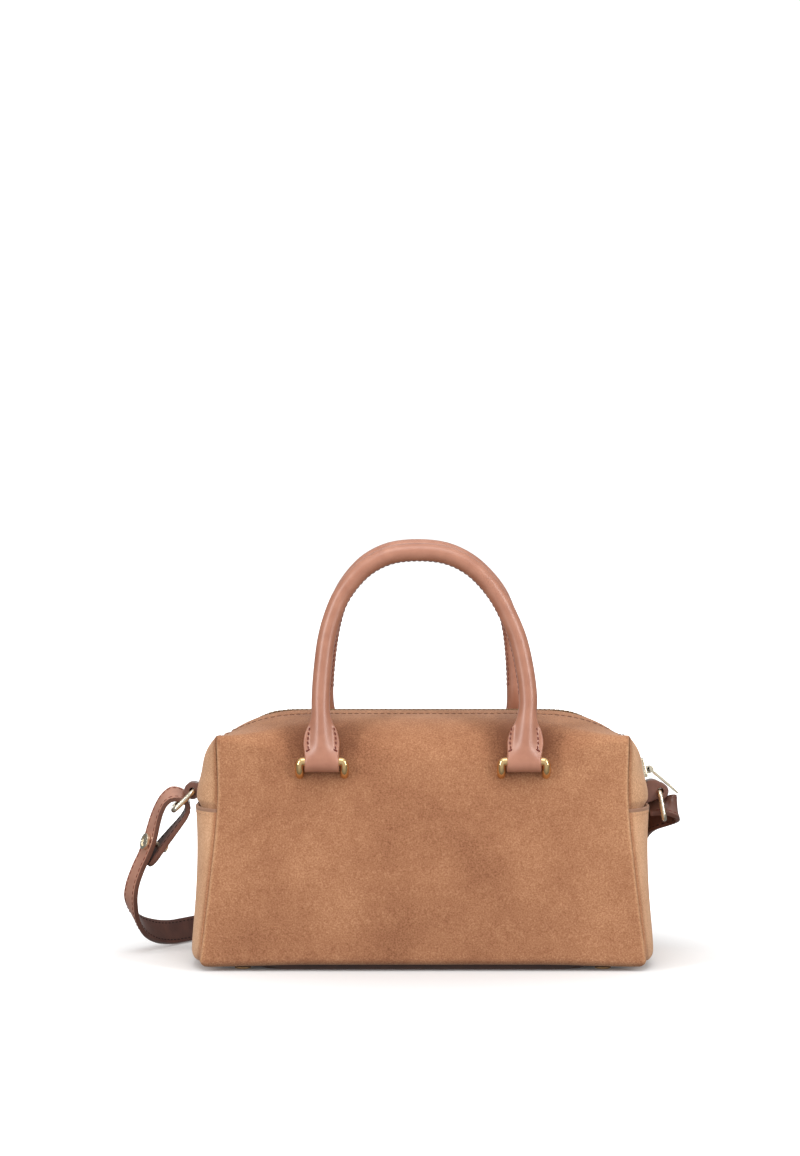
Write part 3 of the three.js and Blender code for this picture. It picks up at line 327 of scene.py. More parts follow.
def loft(name, points):
    """A grid carried to rows and columns of points, in millimetres."""
    rows, columns = points.shape[:2]
    bpy.ops.object.select_all(action="DESELECT")
    bpy.ops.mesh.primitive_grid_add(x_subdivisions=columns - 1, y_subdivisions=rows - 1, size=1)
    made = bpy.context.object
    made.name = name
    made.data.vertices.foreach_set("co", (points * MM).ravel())
    made.data.update()
    return made


def tube(name, rings):
    """A loft whose rows are closed rings, with its two ends filled."""
    made = loft(name, np.concatenate([rings, rings[:, :1]], axis=1))
    edit(made, (bpy.ops.mesh.remove_doubles, {"threshold": 0.001 * MM}),
         (bpy.ops.mesh.fill_holes, {"sides": 0}),
         (bpy.ops.mesh.normals_make_consistent, {"inside": False}))
    return made


def face_away(piece, middle):
    """Turns an open sheet so that its faces look away from a point, in millimetres."""
    towards = sum((p.center - Vector(middle) * MM).dot(p.normal) * p.area for p in piece.data.polygons)
    if towards < 0:
        edit(piece, (bpy.ops.mesh.flip_normals, {}))


def finish_with(piece, kind, **settings):
    """Adds a modifier and applies it."""
    only(piece)
    modifier = piece.modifiers.new(kind.title(), kind)
    for key, value in settings.items():
        setattr(modifier, key, value)
    bpy.ops.object.modifier_apply(modifier=modifier.name)


def smooth_twice(piece):
    finish_with(piece, "SUBSURF", levels=2, render_levels=2)


def coat(piece, *finishes):
    """Fills a piece's finish slots; this comes before Solidify when the inside and the rim differ."""
    for material in finishes:
        piece.data.materials.append(material)


def dress(piece, body, slot, *finishes, stands_for=(), sharp=40):
    """Gives a piece its finishes, its smooth shading and its body; the slot is not used."""
    coat(piece, *finishes)
    only(piece)
    bpy.ops.object.shade_smooth_by_angle(angle=radians(sharp))
    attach(piece, body)
    if stands_for:
        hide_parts(*stands_for)
    return piece


def joined(name, pieces):
    """Several meshes made one."""
    only(pieces[0])
    for piece in pieces[1:]:
        piece.select_set(True)
    if len(pieces) > 1:
        bpy.ops.object.join()
    pieces[0].name = name
    return pieces[0]


print("tools ready")

# %% [markdown]
# Smooth lines through a few rows: the strap, the handles and the staples all use the same curve, one
# that passes through each row and doesn't swing wide where the rows are uneven.

# %% Smooth lines and even steps
def smooth_line(rows, steps):
    """Points on a centripetal curve through rows; columns past the third ride along with the first three."""
    rows = np.asarray(rows, float)
    padded = np.vstack([2 * rows[0] - rows[1], rows, 2 * rows[-1] - rows[-2]])
    line = []
    for i in range(len(rows) - 1):
        before, here, there, after = padded[i:i + 4]
        spans = ((before, here), (here, there), (there, after))
        gaps = [np.linalg.norm((b - a)[:3]) ** 0.5 for a, b in spans]
        first, middle, last = (max(gap, 1e-3) for gap in gaps)
        leave = ((here - before) / first - (there - before) / (first + middle)
                 + (there - here) / middle) * middle
        reach = ((there - here) / middle - (after - here) / (middle + last)
                 + (after - there) / last) * middle
        for t in np.arange(steps) / steps:
            line.append(here + t * leave + t ** 2 * (3 * (there - here) - 2 * leave - reach)
                        + t ** 3 * (2 * (here - there) + leave + reach))
    return np.array(line + [rows[-1]])


def unit(vectors):
    return vectors / np.maximum(np.linalg.norm(vectors, axis=-1, keepdims=True), 1e-9)


def along_line(points):
    """Direction of travel at each point."""
    return unit(np.gradient(points, axis=0))


def even_steps(points, pitch, *riding):
    """Points a pitch apart along a line, with whatever else rides on it."""
    lengths = np.concatenate([[0], np.cumsum(np.linalg.norm(np.diff(points, axis=0), axis=1))])
    stops = np.arange(pitch / 2, lengths[-1], pitch)
    return [np.stack([np.interp(stops, lengths, column) for column in values.T], axis=1)
            for values in (points, *riding)]


def blend_step(value, low, high):
    t = np.clip((value - low) / (high - low), 0, 1)
    return t * t * (3 - 2 * t)


print("curve tools ready")

# %% [markdown]
# A stitch is modelled once: a small ball drawn out into a grain of thread. A seam is then copies of it,
# a pitch apart on a line, each lying along the line and half sunk into the leather.

# %% One stitch, and the tool that sews a row of them
STITCH_FLAT, STITCH_LIFT = 0.8, 0.25
bpy.ops.object.select_all(action="DESELECT")
bpy.ops.mesh.primitive_uv_sphere_add(segments=6, ring_count=6, radius=1)
grain = bpy.context.object
edit(grain, (bpy.ops.transform.rotate, {"value": pi / 2, "orient_axis": "Y", "center_override": (0, 0, 0)}))
GRAIN_POINTS = np.array([v.co for v in grain.data.vertices])
GRAIN_FACES = [tuple(p.vertices) for p in grain.data.polygons]
bpy.data.objects.remove(grain)


def copies(name, points, faces, places):
    """One mesh of many copies; a place is a 3x3 frame and a middle, in millimetres."""
    corners = np.concatenate([points @ axes + middle for axes, middle in places]) * MM
    sides = [tuple(i + k * len(points) for i in face) for k in range(len(places)) for face in faces]
    mesh = bpy.data.meshes.new(name)
    mesh.from_pydata(corners.tolist(), [], sides)
    made = bpy.data.objects.new(name, mesh)
    bpy.context.scene.collection.objects.link(made)
    edit(made, (bpy.ops.mesh.normals_make_consistent, {"inside": False}))
    return made


def seam(points, outward, pitch=4.0, length=2.7, thick=0.42, slant=0.0):
    """Places for stitches along a line on a surface whose outward direction is known."""
    middles, ups, ways = even_steps(points, pitch, outward, along_line(points))
    places = []
    for middle, up, way in zip(middles, unit(ups), unit(ways)):
        side = np.cross(up, way)
        way = unit(way + slant * side)
        side = np.cross(up, way)
        axes = np.array([way * length / 2, side * thick, up * thick * STITCH_FLAT])
        places.append((axes, middle + up * thick * STITCH_LIFT))
    return places


def sew(name, places, body, slot, thread):
    return dress(copies(name, GRAIN_POINTS, GRAIN_FACES, places), body, slot, thread, sharp=60)


print("stitch faces:", len(GRAIN_FACES))

# %% [markdown]
# The shoulder strap is a strip cut from hide, tan outside and dark inside, with both edges painted.
# It starts at its rounded tip, goes up through the left ring, comes back over the tip, falls to the floor,
# runs round behind the bag on its edge, climbs to the right ring, bends round its far side and ends in it.
# A row is a middle and the direction of the width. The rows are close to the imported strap's; the right end
# runs a few millimetres higher, as in the photograph.

# %% The strap's route
STRAP_WIDTH, STRAP_THICK, STRAP_STEPS, FLOOR_CLEARANCE = 14.4, 2.6, 6, 0.05
STRAP_TURN = {"x": 113, "y": 150, "steps": 10, "height": 7.25}
STRAP_LEFT_ROWS = [
    (-158.8, 0, 53.4, -0.42, 0.91, 0), (-153.8, 0, 60.4, -0.42, 0.91, 0), (-150.2, 0, 65.2, -0.38, 0.93, 0),
    (-145.3, 0, 71.3, -0.32, 0.95, 0), (-140.8, 0, 76.8, -0.24, 0.97, 0), (-137, 0, 82, -0.18, 0.98, 0),
    (-135.4, 0, 86.6, -0.1, 0.99, 0.04), (-136.6, 0, 90.6, -0.04, 0.98, 0.14),
    (-140, 0, 93.6, -0.02, 0.93, 0.34), (-144.8, 0, 94, -0.06, 0.9, 0.42),
    (-149, 0, 90.8, -0.18, 0.92, 0.32), (-152, 0, 85.6, -0.3, 0.93, 0.16),
    (-154.2, 0, 79.4, -0.38, 0.92, 0.05), (-155.9, 0, 72.9, -0.43, 0.9, 0),
    (-157.7, 0, 66.2, -0.45, 0.89, 0), (-160.5, 0, 59, -0.45, 0.89, 0), (-164.2, 0.5, 51, -0.45, 0.89, 0),
    (-167.5, 2, 41.5, -0.45, 0.89, 0), (-168.9, 6, 32, -0.45, 0.89, 0.05),
    (-167.8, 13, 23, -0.35, 0.88, 0.3), (-164.2, 24, 15.3, -0.2, 0.85, 0.48),
    (-158.2, 38, 10.2, -0.05, 0.78, 0.62), (-150.5, 53, 7.5, 0, 0.7, 0.71), (-140.5, 69, 6.8, 0, 0.6, 0.8),
    (-129, 88, 7.2, 0, 0.35, 0.94), (-119.5, 110, 7.25, 0, 0, 1), (-114.2, 131, 7.25, 0, 0, 1),
]
STRAP_RIGHT_ROWS = [
    (114.2, 131, 7.25, 0, 0, 1), (116.2, 112, 7.5, 0, 0, 1), (118, 97, 10, 0, 0.08, 1),
    (119.6, 84.5, 16.5, 0, 0.2, 0.98), (121.4, 73.5, 26.5, 0, 0.3, 0.95), (123.4, 62.5, 39, 0, 0.4, 0.92),
    (126, 51, 54, 0, 0.45, 0.89), (129, 39.5, 66, -0.05, 0.45, 0.89), (132, 28, 75, -0.15, 0.4, 0.9),
    (135.4, 18.6, 79, -0.25, 0.3, 0.92), (141.2, 13.8, 81.4, -0.25, 0.15, 0.95),
    (145.4, 10.2, 83.4, -0.15, 0.05, 0.98), (146.9, 5.8, 86, -0.05, 0.1, 0.99),
    (144.8, 2.2, 86.6, -0.2, 0.6, 0.77), (140.9, 0.6, 86.7, 0, 0.87, 0.49),
    (136.4, 0.3, 86.7, 0, 0.89, 0.45), (131, 0.2, 86.3, 0, 0.89, 0.45),
]
half_circle = [pi - pi * i / STRAP_TURN["steps"] for i in range(STRAP_TURN["steps"] + 1)]
strap_rows = np.array(STRAP_LEFT_ROWS + [
    (STRAP_TURN["x"] * cos(a), STRAP_TURN["y"] + STRAP_TURN["x"] * sin(a), STRAP_TURN["height"], 0, 0, 1)
    for a in half_circle] + STRAP_RIGHT_ROWS)
strap_middle = smooth_line(strap_rows[:, :3], STRAP_STEPS)
strap_along = along_line(strap_middle)
row_at = np.linspace(0, len(strap_rows) - 1, len(strap_middle))
strap_wide = np.stack([np.interp(row_at, np.arange(len(strap_rows)), column)
                       for column in strap_rows[:, 3:].T], axis=1)
strap_wide = unit(strap_wide - strap_along * np.sum(strap_wide * strap_along, axis=1, keepdims=True))
strap_inner = np.cross(strap_along, strap_wide)
low = np.abs(strap_wide[:, 2]) * STRAP_WIDTH / 2 + np.abs(strap_inner[:, 2]) * STRAP_THICK / 2
strap_middle[:, 2] = np.maximum(strap_middle[:, 2], low + FLOOR_CLEARANCE)

# %% [markdown]
# The strip is a grid of five points across, carried along the route. Solidify gives it the thickness,
# with its own finishes for the inside and for the rim, and a bevel rounds the painted edges.
# The right end lies in shade and looks darker than the rest, so an attribute says where painted shade darkens
# the colour.

# %% The strap's leather and its stitches
TIP_ROUND, TIP_BLUNT, STRAP_BEVEL = 7.2, 0.3, 0.7
SHADE_FROM, SHADE_FULL_FROM = 104, 131
from_tip = np.concatenate([[0], np.cumsum(np.linalg.norm(np.diff(strap_middle, axis=0), axis=1))])
tip_share = np.sqrt(1 - np.clip(1 - (from_tip + TIP_BLUNT) / TIP_ROUND, 0, 1) ** 2)
across = np.array([-1, -0.5, 0, 0.5, 1])
strip = (strap_middle[:, None] + strap_wide[:, None] * across[None, :, None]
         * (STRAP_WIDTH / 2 * tip_share)[:, None, None])
strap = loft("strap_strip", strip)
outside = -strap_inner[len(strap_inner) // 2]
if Vector(outside).dot(strap.data.polygons[len(strap.data.polygons) // 2].normal) < 0:
    edit(strap, (bpy.ops.mesh.flip_normals, {}))
coat(strap, strap_leather, strap_lining, dark_edge)
finish_with(strap, "SOLIDIFY", thickness=STRAP_THICK * MM, offset=0, material_offset=1,
            material_offset_rim=2)
finish_with(strap, "BEVEL", width=STRAP_BEVEL * MM, segments=3, limit_method="ANGLE", angle_limit=radians(50))
# Painted shade: the strap darkens towards its right end, which lies in shade.
painted_shade = blend_step(np.array([v.co.x for v in strap.data.vertices]) / MM, SHADE_FROM, SHADE_FULL_FROM)
painted_shade_layer = strap.data.attributes.new("painted_shade", "FLOAT", "POINT")
painted_shade_layer.data.foreach_set("value", painted_shade.astype(np.float32))
dress(strap, "bag", "strap_leather", stands_for=["shoulder_strap"], sharp=50)

SEAM_FROM_EDGE = 1.9
sewn = slice(6, -3)  # steps at the two tips that carry no stitches
for part, face_side, thread in (("strap_seams", -1, dark_thread), ("strap_lining_seams", 1, deep_thread)):
    strap_places = []
    for edge_side in (-1, 1):
        line = strap_middle + strap_wide * edge_side * (STRAP_WIDTH / 2 - SEAM_FROM_EDGE)
        skin = line + strap_inner * face_side * STRAP_THICK / 2
        strap_places += seam(skin[sewn], strap_inner[sewn] * face_side, pitch=3.6, length=2.5, thick=0.3)
    sew(part, strap_places, "bag", "strap_leather", thread)
    print(part, len(strap_places))

# %% [markdown]
# The body is two big suede panels that meet at the zip. Seen from the end, a panel starts at the zip,
# slopes down, rolls over a wide brow, drops down the face and turns in under the bag.
# The brow is wide in the middle and tight at the corners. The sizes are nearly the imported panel's own.

# %% Sizes of the suede body
WALL = 2.0
TOP_HEIGHT, TOP_FLAT_HALF = 143.3, 72.0
WIDE_RADIUS, WIDE_TURN = 72.0, radians(31)
TIGHT_RADIUS, END_TURN = 37.0, radians(76)
FACE_LEAN, FACE_REACH, FACE_REACH_HEIGHT, FACE_BELLY = radians(6), 48.3, 111.3, 2.5
BROW_MIDDLE, BROW_CORNER, BROW_TIGHTENS_FROM = (108.0, 32.0), (125.6, 5.0), 0.45
SHOULDER_HALF, SLOT_HALF = 116.4, 5.2
UNDERSIDE, FOLD_RADIUS, FLANGE_EDGE = 3.4, 4.0, 46.0
FOLD_INSET, FLANGE_INSET = 3, 10
SIDE_HEIGHTS = [0, 20, 40, 60, 80, 97, 112, 135]
SIDE_HALVES = [125.2, 122.5, 120.2, 118.0, 115.9, 114.9, 115.3, 116.4]
WIDE_END = (TOP_FLAT_HALF + WIDE_RADIUS * sin(WIDE_TURN), TOP_HEIGHT - WIDE_RADIUS * (1 - cos(WIDE_TURN)))
TIGHT_END = (WIDE_END[0] + TIGHT_RADIUS * (sin(END_TURN) - sin(WIDE_TURN)),
             WIDE_END[1] - TIGHT_RADIUS * (cos(WIDE_TURN) - cos(END_TURN)))


def top_line_at(turn):
    """Place on the right half of the zip line where it has turned by an angle."""
    if turn <= WIDE_TURN:
        return TOP_FLAT_HALF + WIDE_RADIUS * sin(turn), TOP_HEIGHT - WIDE_RADIUS * (1 - cos(turn))
    return (WIDE_END[0] + TIGHT_RADIUS * (sin(turn) - sin(WIDE_TURN)),
            WIDE_END[1] - TIGHT_RADIUS * (cos(WIDE_TURN) - cos(turn)))


def top_height(x):
    if x <= TOP_FLAT_HALF:
        return TOP_HEIGHT
    if x <= WIDE_END[0]:
        return top_line_at(asin((x - TOP_FLAT_HALF) / WIDE_RADIUS))[1]
    return top_line_at(asin(sin(WIDE_TURN) + (x - WIDE_END[0]) / TIGHT_RADIUS))[1]


def top_reach(height):
    if height < TIGHT_END[1]:
        return TIGHT_END[0] + (TIGHT_END[1] - height) / tan(END_TURN)
    return top_line_at(acos(cos(WIDE_TURN) - (WIDE_END[1] - height) / TIGHT_RADIUS))[0]


def face_reach(height):
    return FACE_REACH + (FACE_REACH_HEIGHT - height) * tan(FACE_LEAN)


def side_half(height):
    return float(np.interp(height, SIDE_HEIGHTS, SIDE_HALVES))


def mix(a, b, t):
    return a + (b - a) * t


print("top line ends at", [round(v, 1) for v in TIGHT_END])

# %% [markdown]
# One line of a panel is worked out at a place across the bag, as reach and height, with the direction
# that the wall faces. The first rows lie close together, so that the sewn edge along the zip can be
# pressed in where its stitches pull.

# %% One line of a panel
EDGE_ROWS = [0, 1.4, 4.2, 7.0, 8.4, 9.8, 12.5]
SEAM_ROW = 4
SLOPE_ROWS, BROW_ROWS, FACE_ROWS, FOLD_ROWS = 4, 8, 16, 4


def brow_at(share):
    """Middle, radius and first angle of the brow at a share of the half width, and the zip edge there."""
    tight = float(blend_step(abs(share), BROW_TIGHTENS_FROM, 1))
    height = mix(BROW_MIDDLE[0], BROW_CORNER[0], tight)
    radius = mix(BROW_MIDDLE[1], BROW_CORNER[1], tight)
    reach = face_reach(height) - radius / cos(FACE_LEAN)
    edge_height = top_height(abs(share) * SHOULDER_HALF)
    towards = atan2(edge_height - height, SLOT_HALF - reach)
    start = towards - acos(radius / hypot(edge_height - height, SLOT_HALF - reach))
    return reach, height, radius, edge_height, start


def panel_line(share):
    """Rows of reach, height, facing angle and inset, from the zip edge to the turned-in flange."""
    reach, height, radius, edge_height, start = brow_at(share)
    touch = (reach + radius * cos(start), height + radius * sin(start))
    slope = hypot(touch[0] - SLOT_HALF, touch[1] - edge_height)
    stops = EDGE_ROWS + list(np.linspace(EDGE_ROWS[-1], slope, SLOPE_ROWS + 1)[1:-1])
    rows = [(mix(SLOT_HALF, touch[0], s / slope), mix(edge_height, touch[1], s / slope), start, 0)
            for s in stops]
    for turn in np.linspace(start, FACE_LEAN, BROW_ROWS + 1)[:-1]:
        rows.append((reach + radius * cos(turn), height + radius * sin(turn), turn, 0))
    fold_height = UNDERSIDE + FOLD_RADIUS
    for i, z in enumerate(np.linspace(height + radius * sin(FACE_LEAN), fold_height, FACE_ROWS + 1)[:-1]):
        belly = FACE_BELLY * cos(pi / 2 * share) * sin(pi * i / FACE_ROWS)
        rows.append((face_reach(z) + belly, z, FACE_LEAN, 0))
    fold_reach = face_reach(fold_height) - FOLD_RADIUS / cos(FACE_LEAN)
    for i, turn in enumerate(np.linspace(FACE_LEAN, -pi / 2, FOLD_ROWS + 1)):
        rows.append((fold_reach + FOLD_RADIUS * cos(turn), fold_height + FOLD_RADIUS * sin(turn), turn,
                     FOLD_INSET * (i / FOLD_ROWS) ** 2))
    rows.append((FLANGE_EDGE, UNDERSIDE, -pi / 2, FLANGE_INSET))
    return np.array(rows)


TOP_ROWS = len(EDGE_ROWS) + SLOPE_ROWS - 1
print("rows in a panel:", len(panel_line(0.0)), "of which on the top:", TOP_ROWS)

# %% [markdown]
# The panel's side edges roll back round a small radius before they meet the end pieces, which is what
# throws the thin dark line beside them. On the top they don't roll: there the panel runs on into its ears,
# the parts that fold round the ends of the bag up to the zip. An ear dives in behind the rolled edge, so that
# a real groove is left between the two.

# %% Points of a panel and of its ears
EDGE_ROLL, CORNER_SAG, SAG_FROM, SAG_HEIGHTS = 2.2, 1.2, 0.55, (4, 30)
ROLL_TURNS = [radians(a) for a in (0, 25, 50, 75, 100, 125)]
PANEL_COLUMNS = 29
COLUMN_CROWDING = 0.25
EAR_HEIGHTS = [
    129.2, 127.4, 125.5, 122.5, 119, 115.5, 112, 108.5, 105, 102, 99, 96.5, 94.5, 92.8, 91.2, 89, 86.5,
]
EAR_ROUND_FREE, EAR_ROUND_TUCKED, EAR_BULGE, EAR_TUCK = 3.2, 3.0, 2.4, 2.3
EAR_TUCKED_BELOW, EAR_FREE_ABOVE, EAR_UPRIGHT_BELOW, EAR_BULGE_HEIGHTS = 89.6, 93, 98, (107, 124)
EAR_SLOT_HALF, SLOT_NARROWS = 8.0, (102.2, 107)
SEAM_TUCK, DART_LOW, DART_HIGH, DART_DEEP, DART_OPENS = 2.2, 0.35, 0.8, 2.6, (92, 116)


def panel_points():
    """Grid of x, forward reach and height, from the left rolled edge to the right one."""
    flat = np.linspace(-1, 1, PANEL_COLUMNS)
    shares = flat * (1 + COLUMN_CROWDING * (1 - flat ** 2))
    middle = []
    for share in shares:
        line = panel_line(share)
        by_floor = 1 - blend_step(line[:, 1], *SAG_HEIGHTS)
        line[:, 1] -= CORNER_SAG * blend_step(abs(share), SAG_FROM, 1) * by_floor
        halves = np.array([side_half(z) for z in line[:, 1]]) - line[:, 3] - EDGE_ROLL
        middle.append(np.stack([share * halves, line[:, 0], line[:, 1]], axis=1))
    edge = panel_line(1.0)
    rolls = blend_step(np.arange(len(edge)), TOP_ROWS - 1, TOP_ROWS + BROW_ROWS - 2)[:, None]
    facing = np.stack([np.zeros(len(edge)), np.cos(edge[:, 2]), np.sin(edge[:, 2])], axis=1)
    sides = {}
    for side, start in ((-1, middle[0]), (1, middle[-1])):
        sides[side] = []
        for turn in ROLL_TURNS[1:]:
            out = EDGE_ROLL * (rolls * sin(turn) + (1 - rolls) * turn / ROLL_TURNS[-1])
            back = EDGE_ROLL * rolls * (1 - cos(turn))
            sides[side].append(start + np.array([side, 0, 0]) * out - facing * back)
    columns = sides[-1][::-1] + middle + sides[1]
    return np.stack(columns, axis=1)


def dart_wide(z):
    """How far the ends stand off the panel's rolled edge; the groove opens towards the shoulder."""
    return mix(DART_LOW, DART_HIGH, float(blend_step(z, *DART_OPENS)))


def slot_half(z):
    """Half of the opening that the two ears leave for the zip and, lower down, for the end loop."""
    return mix(EAR_SLOT_HALF, SLOT_HALF, blend_step(z, *SLOT_NARROWS))


def ear_points(side, first):
    """Columns down the end of the bag; the first one is the panel's own edge on the top."""
    columns = [first]
    for z in EAR_HEIGHTS:
        slot, free = float(slot_half(z)), float(blend_step(z, EAR_TUCKED_BELOW, EAR_FREE_ABOVE))
        whole = face_reach(z) - SEAM_TUCK - slot
        stops = np.array(EDGE_ROWS + list(np.linspace(EDGE_ROWS[-1], whole, SLOPE_ROWS + 1)[1:]))
        v = stops / whole
        bulge = EAR_BULGE * float(blend_step(z, *EAR_BULGE_HEIGHTS)) * 4 * v * (1 - v)
        by_zip, by_face = top_reach(max(z, EAR_UPRIGHT_BELOW)), side_half(z) + dart_wide(z)
        x = mix(by_zip, by_face, v ** mix(EAR_ROUND_TUCKED, EAR_ROUND_FREE, free)) + bulge
        x = np.append(x, x[-1] - DART_DEEP / 2) - EAR_TUCK * (1 - free)
        reach = np.append(slot + stops, slot + whole - DART_DEEP)
        columns.append(np.stack([side * x, reach, np.full(len(x), z)], axis=1))
    return np.stack(columns, axis=1)


front = panel_points()
ears = {side: ear_points(side, front[:TOP_ROWS + 2, 0 if side < 0 else -1]) for side in (-1, 1)}
print("panel grid:", front.shape[:2], "ear grid:", ears[1].shape[:2])

# %% [markdown]
# Suede is never quite flat. A slow noise moves the points by less than a millimetre and the zip's seam is
# pressed in. Light and shade are painted into the suede point by point: painted shade beside the handle feet
# and low on the face, painted light along the top and on the ends, a painted highlight on the rolled side
# edges, and a few broad lighter and darker patches of tone.
# The panel and its ears are sewn into one sheet by merging their shared points, get their wall with Solidify,
# and two rounds of subdivision make the folds soft. The back shoulders droop, so the front ones hide them.

# %% Front and back panels
BAR_X = 56.4
ZIP_PAINT, ZIP_PAINT_WITHIN, ZIP_PAINT_BELOW = 1.0, 100, 114
BACK_DROOP, DROOP_ACROSS, DROOP_HEIGHTS = 3.0, (92, 112), (118, 128)
PANEL_INSIDE, MERGE_WITHIN = (0, 0, 70), 0.02
SUEDE_WAVE_DEEP, SUEDE_WAVE_LONG, SEAM_PRESS = 0.7, 38, 0.35
# Painted light: the ends of the bag are made paler, standing in for the side light and sheen that fall on
# them.
END_PAINTED_LIGHT, END_PAINTED_LIGHT_PAST = 0.52, (1.2, 3.0)
# A painted highlight along the rolled side edges of the face, fading out near the top.
EDGE_PAINTED_HIGHLIGHT, EDGE_HIGHLIGHT_AT, EDGE_HIGHLIGHT_WIDE, EDGE_HIGHLIGHT_ENDS, EDGE_STRIP = 0.4, -0.8, 0.8, (122, 128), 9
# Painted shade beside the handle feet and along the bottom, painted light along the top, and broad lighter
# and darker patches over the face.
SHADE_LIGHT_AND_NAP_SPOTS = [
    {"x": -BAR_X, "z": 129, "wide": 19, "tall": 14, "change": -0.78},
    {"x": BAR_X, "z": 129, "wide": 19, "tall": 14, "change": -0.78},
    {"x": 0, "z": 62, "wide": 70, "tall": 48, "change": -0.08},
    {"x": -108, "z": 70, "wide": 26, "tall": 60, "change": 0.12},
    {"x": 108, "z": 70, "wide": 26, "tall": 60, "change": 0.1},
    {"x": 0, "z": 141, "wide": 70, "tall": 7, "change": 0.04},
    {"x": -100, "z": 133, "wide": 26, "tall": 7, "change": 0.02},
    {"x": 100, "z": 133, "wide": 26, "tall": 7, "change": 0.02},
    {"x": 0, "z": 10, "wide": 120, "tall": 22, "change": -0.08},
]


def paint_light_nap_and_edge(piece, edge_is_at):
    """Writes point by point the painted light and shade on the suede, with its broad tone patches, and where
    the edge is painted.
    """
    places = np.array([v.co for v in piece.data.vertices]) / MM
    nap_and_painted_light = np.zeros(len(places))
    for spot in SHADE_LIGHT_AND_NAP_SPOTS:
        across, above = (places[:, 0] - spot["x"]) / spot["wide"], (places[:, 2] - spot["z"]) / spot["tall"]
        nap_and_painted_light += spot["change"] * np.exp(-(across ** 2 + above ** 2))
    past_edge = np.abs(places[:, 0]) - np.interp(places[:, 2], SIDE_HEIGHTS, SIDE_HALVES)
    by_face = np.abs(places[:, 1]) > face_reach(places[:, 2]) - EDGE_STRIP
    # Painted highlight along the rolled side edge.
    rolled = np.exp(-((past_edge - EDGE_HIGHLIGHT_AT) / EDGE_HIGHLIGHT_WIDE) ** 2) * by_face
    # Painted light on the ears and the end panels, past the panel's side edge.
    nap_and_painted_light += END_PAINTED_LIGHT * blend_step(past_edge, *END_PAINTED_LIGHT_PAST)
    nap_and_painted_light += EDGE_PAINTED_HIGHLIGHT * rolled * (1 - blend_step(places[:, 2], *EDGE_HIGHLIGHT_ENDS))
    for name, values in (("nap_and_painted_light", nap_and_painted_light), ("edge_paint", edge_is_at(places))):
        piece.data.attributes.new(name, "FLOAT", "POINT").data.foreach_set("value", values.astype(np.float32))


def by_the_zip(places):
    shows = (np.abs(places[:, 0]) < ZIP_PAINT_WITHIN) | (places[:, 2] < ZIP_PAINT_BELOW)
    return shows & (np.abs(places[:, 1]) < slot_half(places[:, 2]) + ZIP_PAINT)


def soften(points, depth, wave, seed):
    """Moves points in or out a little, as a slow noise says."""
    moved = points.copy()
    for index in np.ndindex(points.shape[:2]):
        place = Vector(points[index]) / wave + Vector((seed, seed, seed))
        moved[index][1] += depth * noise.noise(place)
    return moved


def suede_panel(name, facing, seed):
    """A whole panel with its ears, at the front or at the back."""
    sheets = []
    for part, points in (("sheet", front), ("left", ears[-1]), ("right", ears[1])):
        shaped = points.copy()
        if part == "sheet":
            shaped = soften(points, SUEDE_WAVE_DEEP, SUEDE_WAVE_LONG, seed)
            shaped[:TOP_ROWS + 1] = points[:TOP_ROWS + 1]
        shaped[SEAM_ROW, :, 2] -= SEAM_PRESS
        if facing > 0:
            outer = blend_step(np.abs(points[..., 0]), *DROOP_ACROSS)
            shaped[..., 2] -= BACK_DROOP * outer * blend_step(points[..., 2], *DROOP_HEIGHTS)
        shaped[..., 1] *= facing
        sheets.append(loft(f"{name}_{part}", shaped))
    for sheet in sheets:
        face_away(sheet, PANEL_INSIDE)
    panel = joined(name, sheets)
    edit(panel, (bpy.ops.mesh.remove_doubles, {"threshold": MERGE_WITHIN * MM}))
    finish_with(panel, "SOLIDIFY", thickness=WALL * MM, offset=-1)
    smooth_twice(panel)
    paint_light_nap_and_edge(panel, by_the_zip)
    node = name.replace("suede_", "") + "_panel"
    return dress(panel, "bag", "suede", tan_suede, stands_for=[node], sharp=80)


front_suede = suede_panel("suede_front", -1, 3.1)
back_suede = suede_panel("suede_back", 1, 8.7)
print("panel faces:", len(front_suede.data.polygons), len(back_suede.data.polygons))

# %% [markdown]
# The lower ends are separate suede panels that lap over the ears, with a painted upper edge and a pale seam
# just below it. Each one bulges, pulls in where it meets the big panels, and folds under at the bottom. They
# wear a paler copy of the suede, which paints in the side light and sheen that fall on the ends.

# %% End panels
GUSSET_ROWS = [
    (3.4, 131.6, 14), (3.4, 131.6, 4), (4.7, 131.6, 1.1), (7.4, 131.6, 0), (11, 131.4, 0), (15, 131.2, 0),
    (24, 130.5, 0), (36, 129.5, 0), (50, 128.9, 0), (64, 128.6, 0), (76, 128.9, 0), (83, 129.4, 0),
    (86.0, 129.6, 0), (87.4, 129.75, 0), (88.8, 129.85, 0), (89.6, 129.9, 0),
]
GUSSET_SEAM_ROW = 12
GUSSET_PAINT_ABOVE = 87.5
GUSSET_ROUNDNESS = 3.8
GUSSET_COLUMNS = 25
GUSSET_LOW, LOW_TUCK, LOW_NARROW, LOW_LIFT, LIFT_FROM = (7, 15), 0.9, 1.3, 1.2, (0.75, 0.95)
END_SEAM_PRESS, END_INSIDE = 0.25, (0, 0, 50)


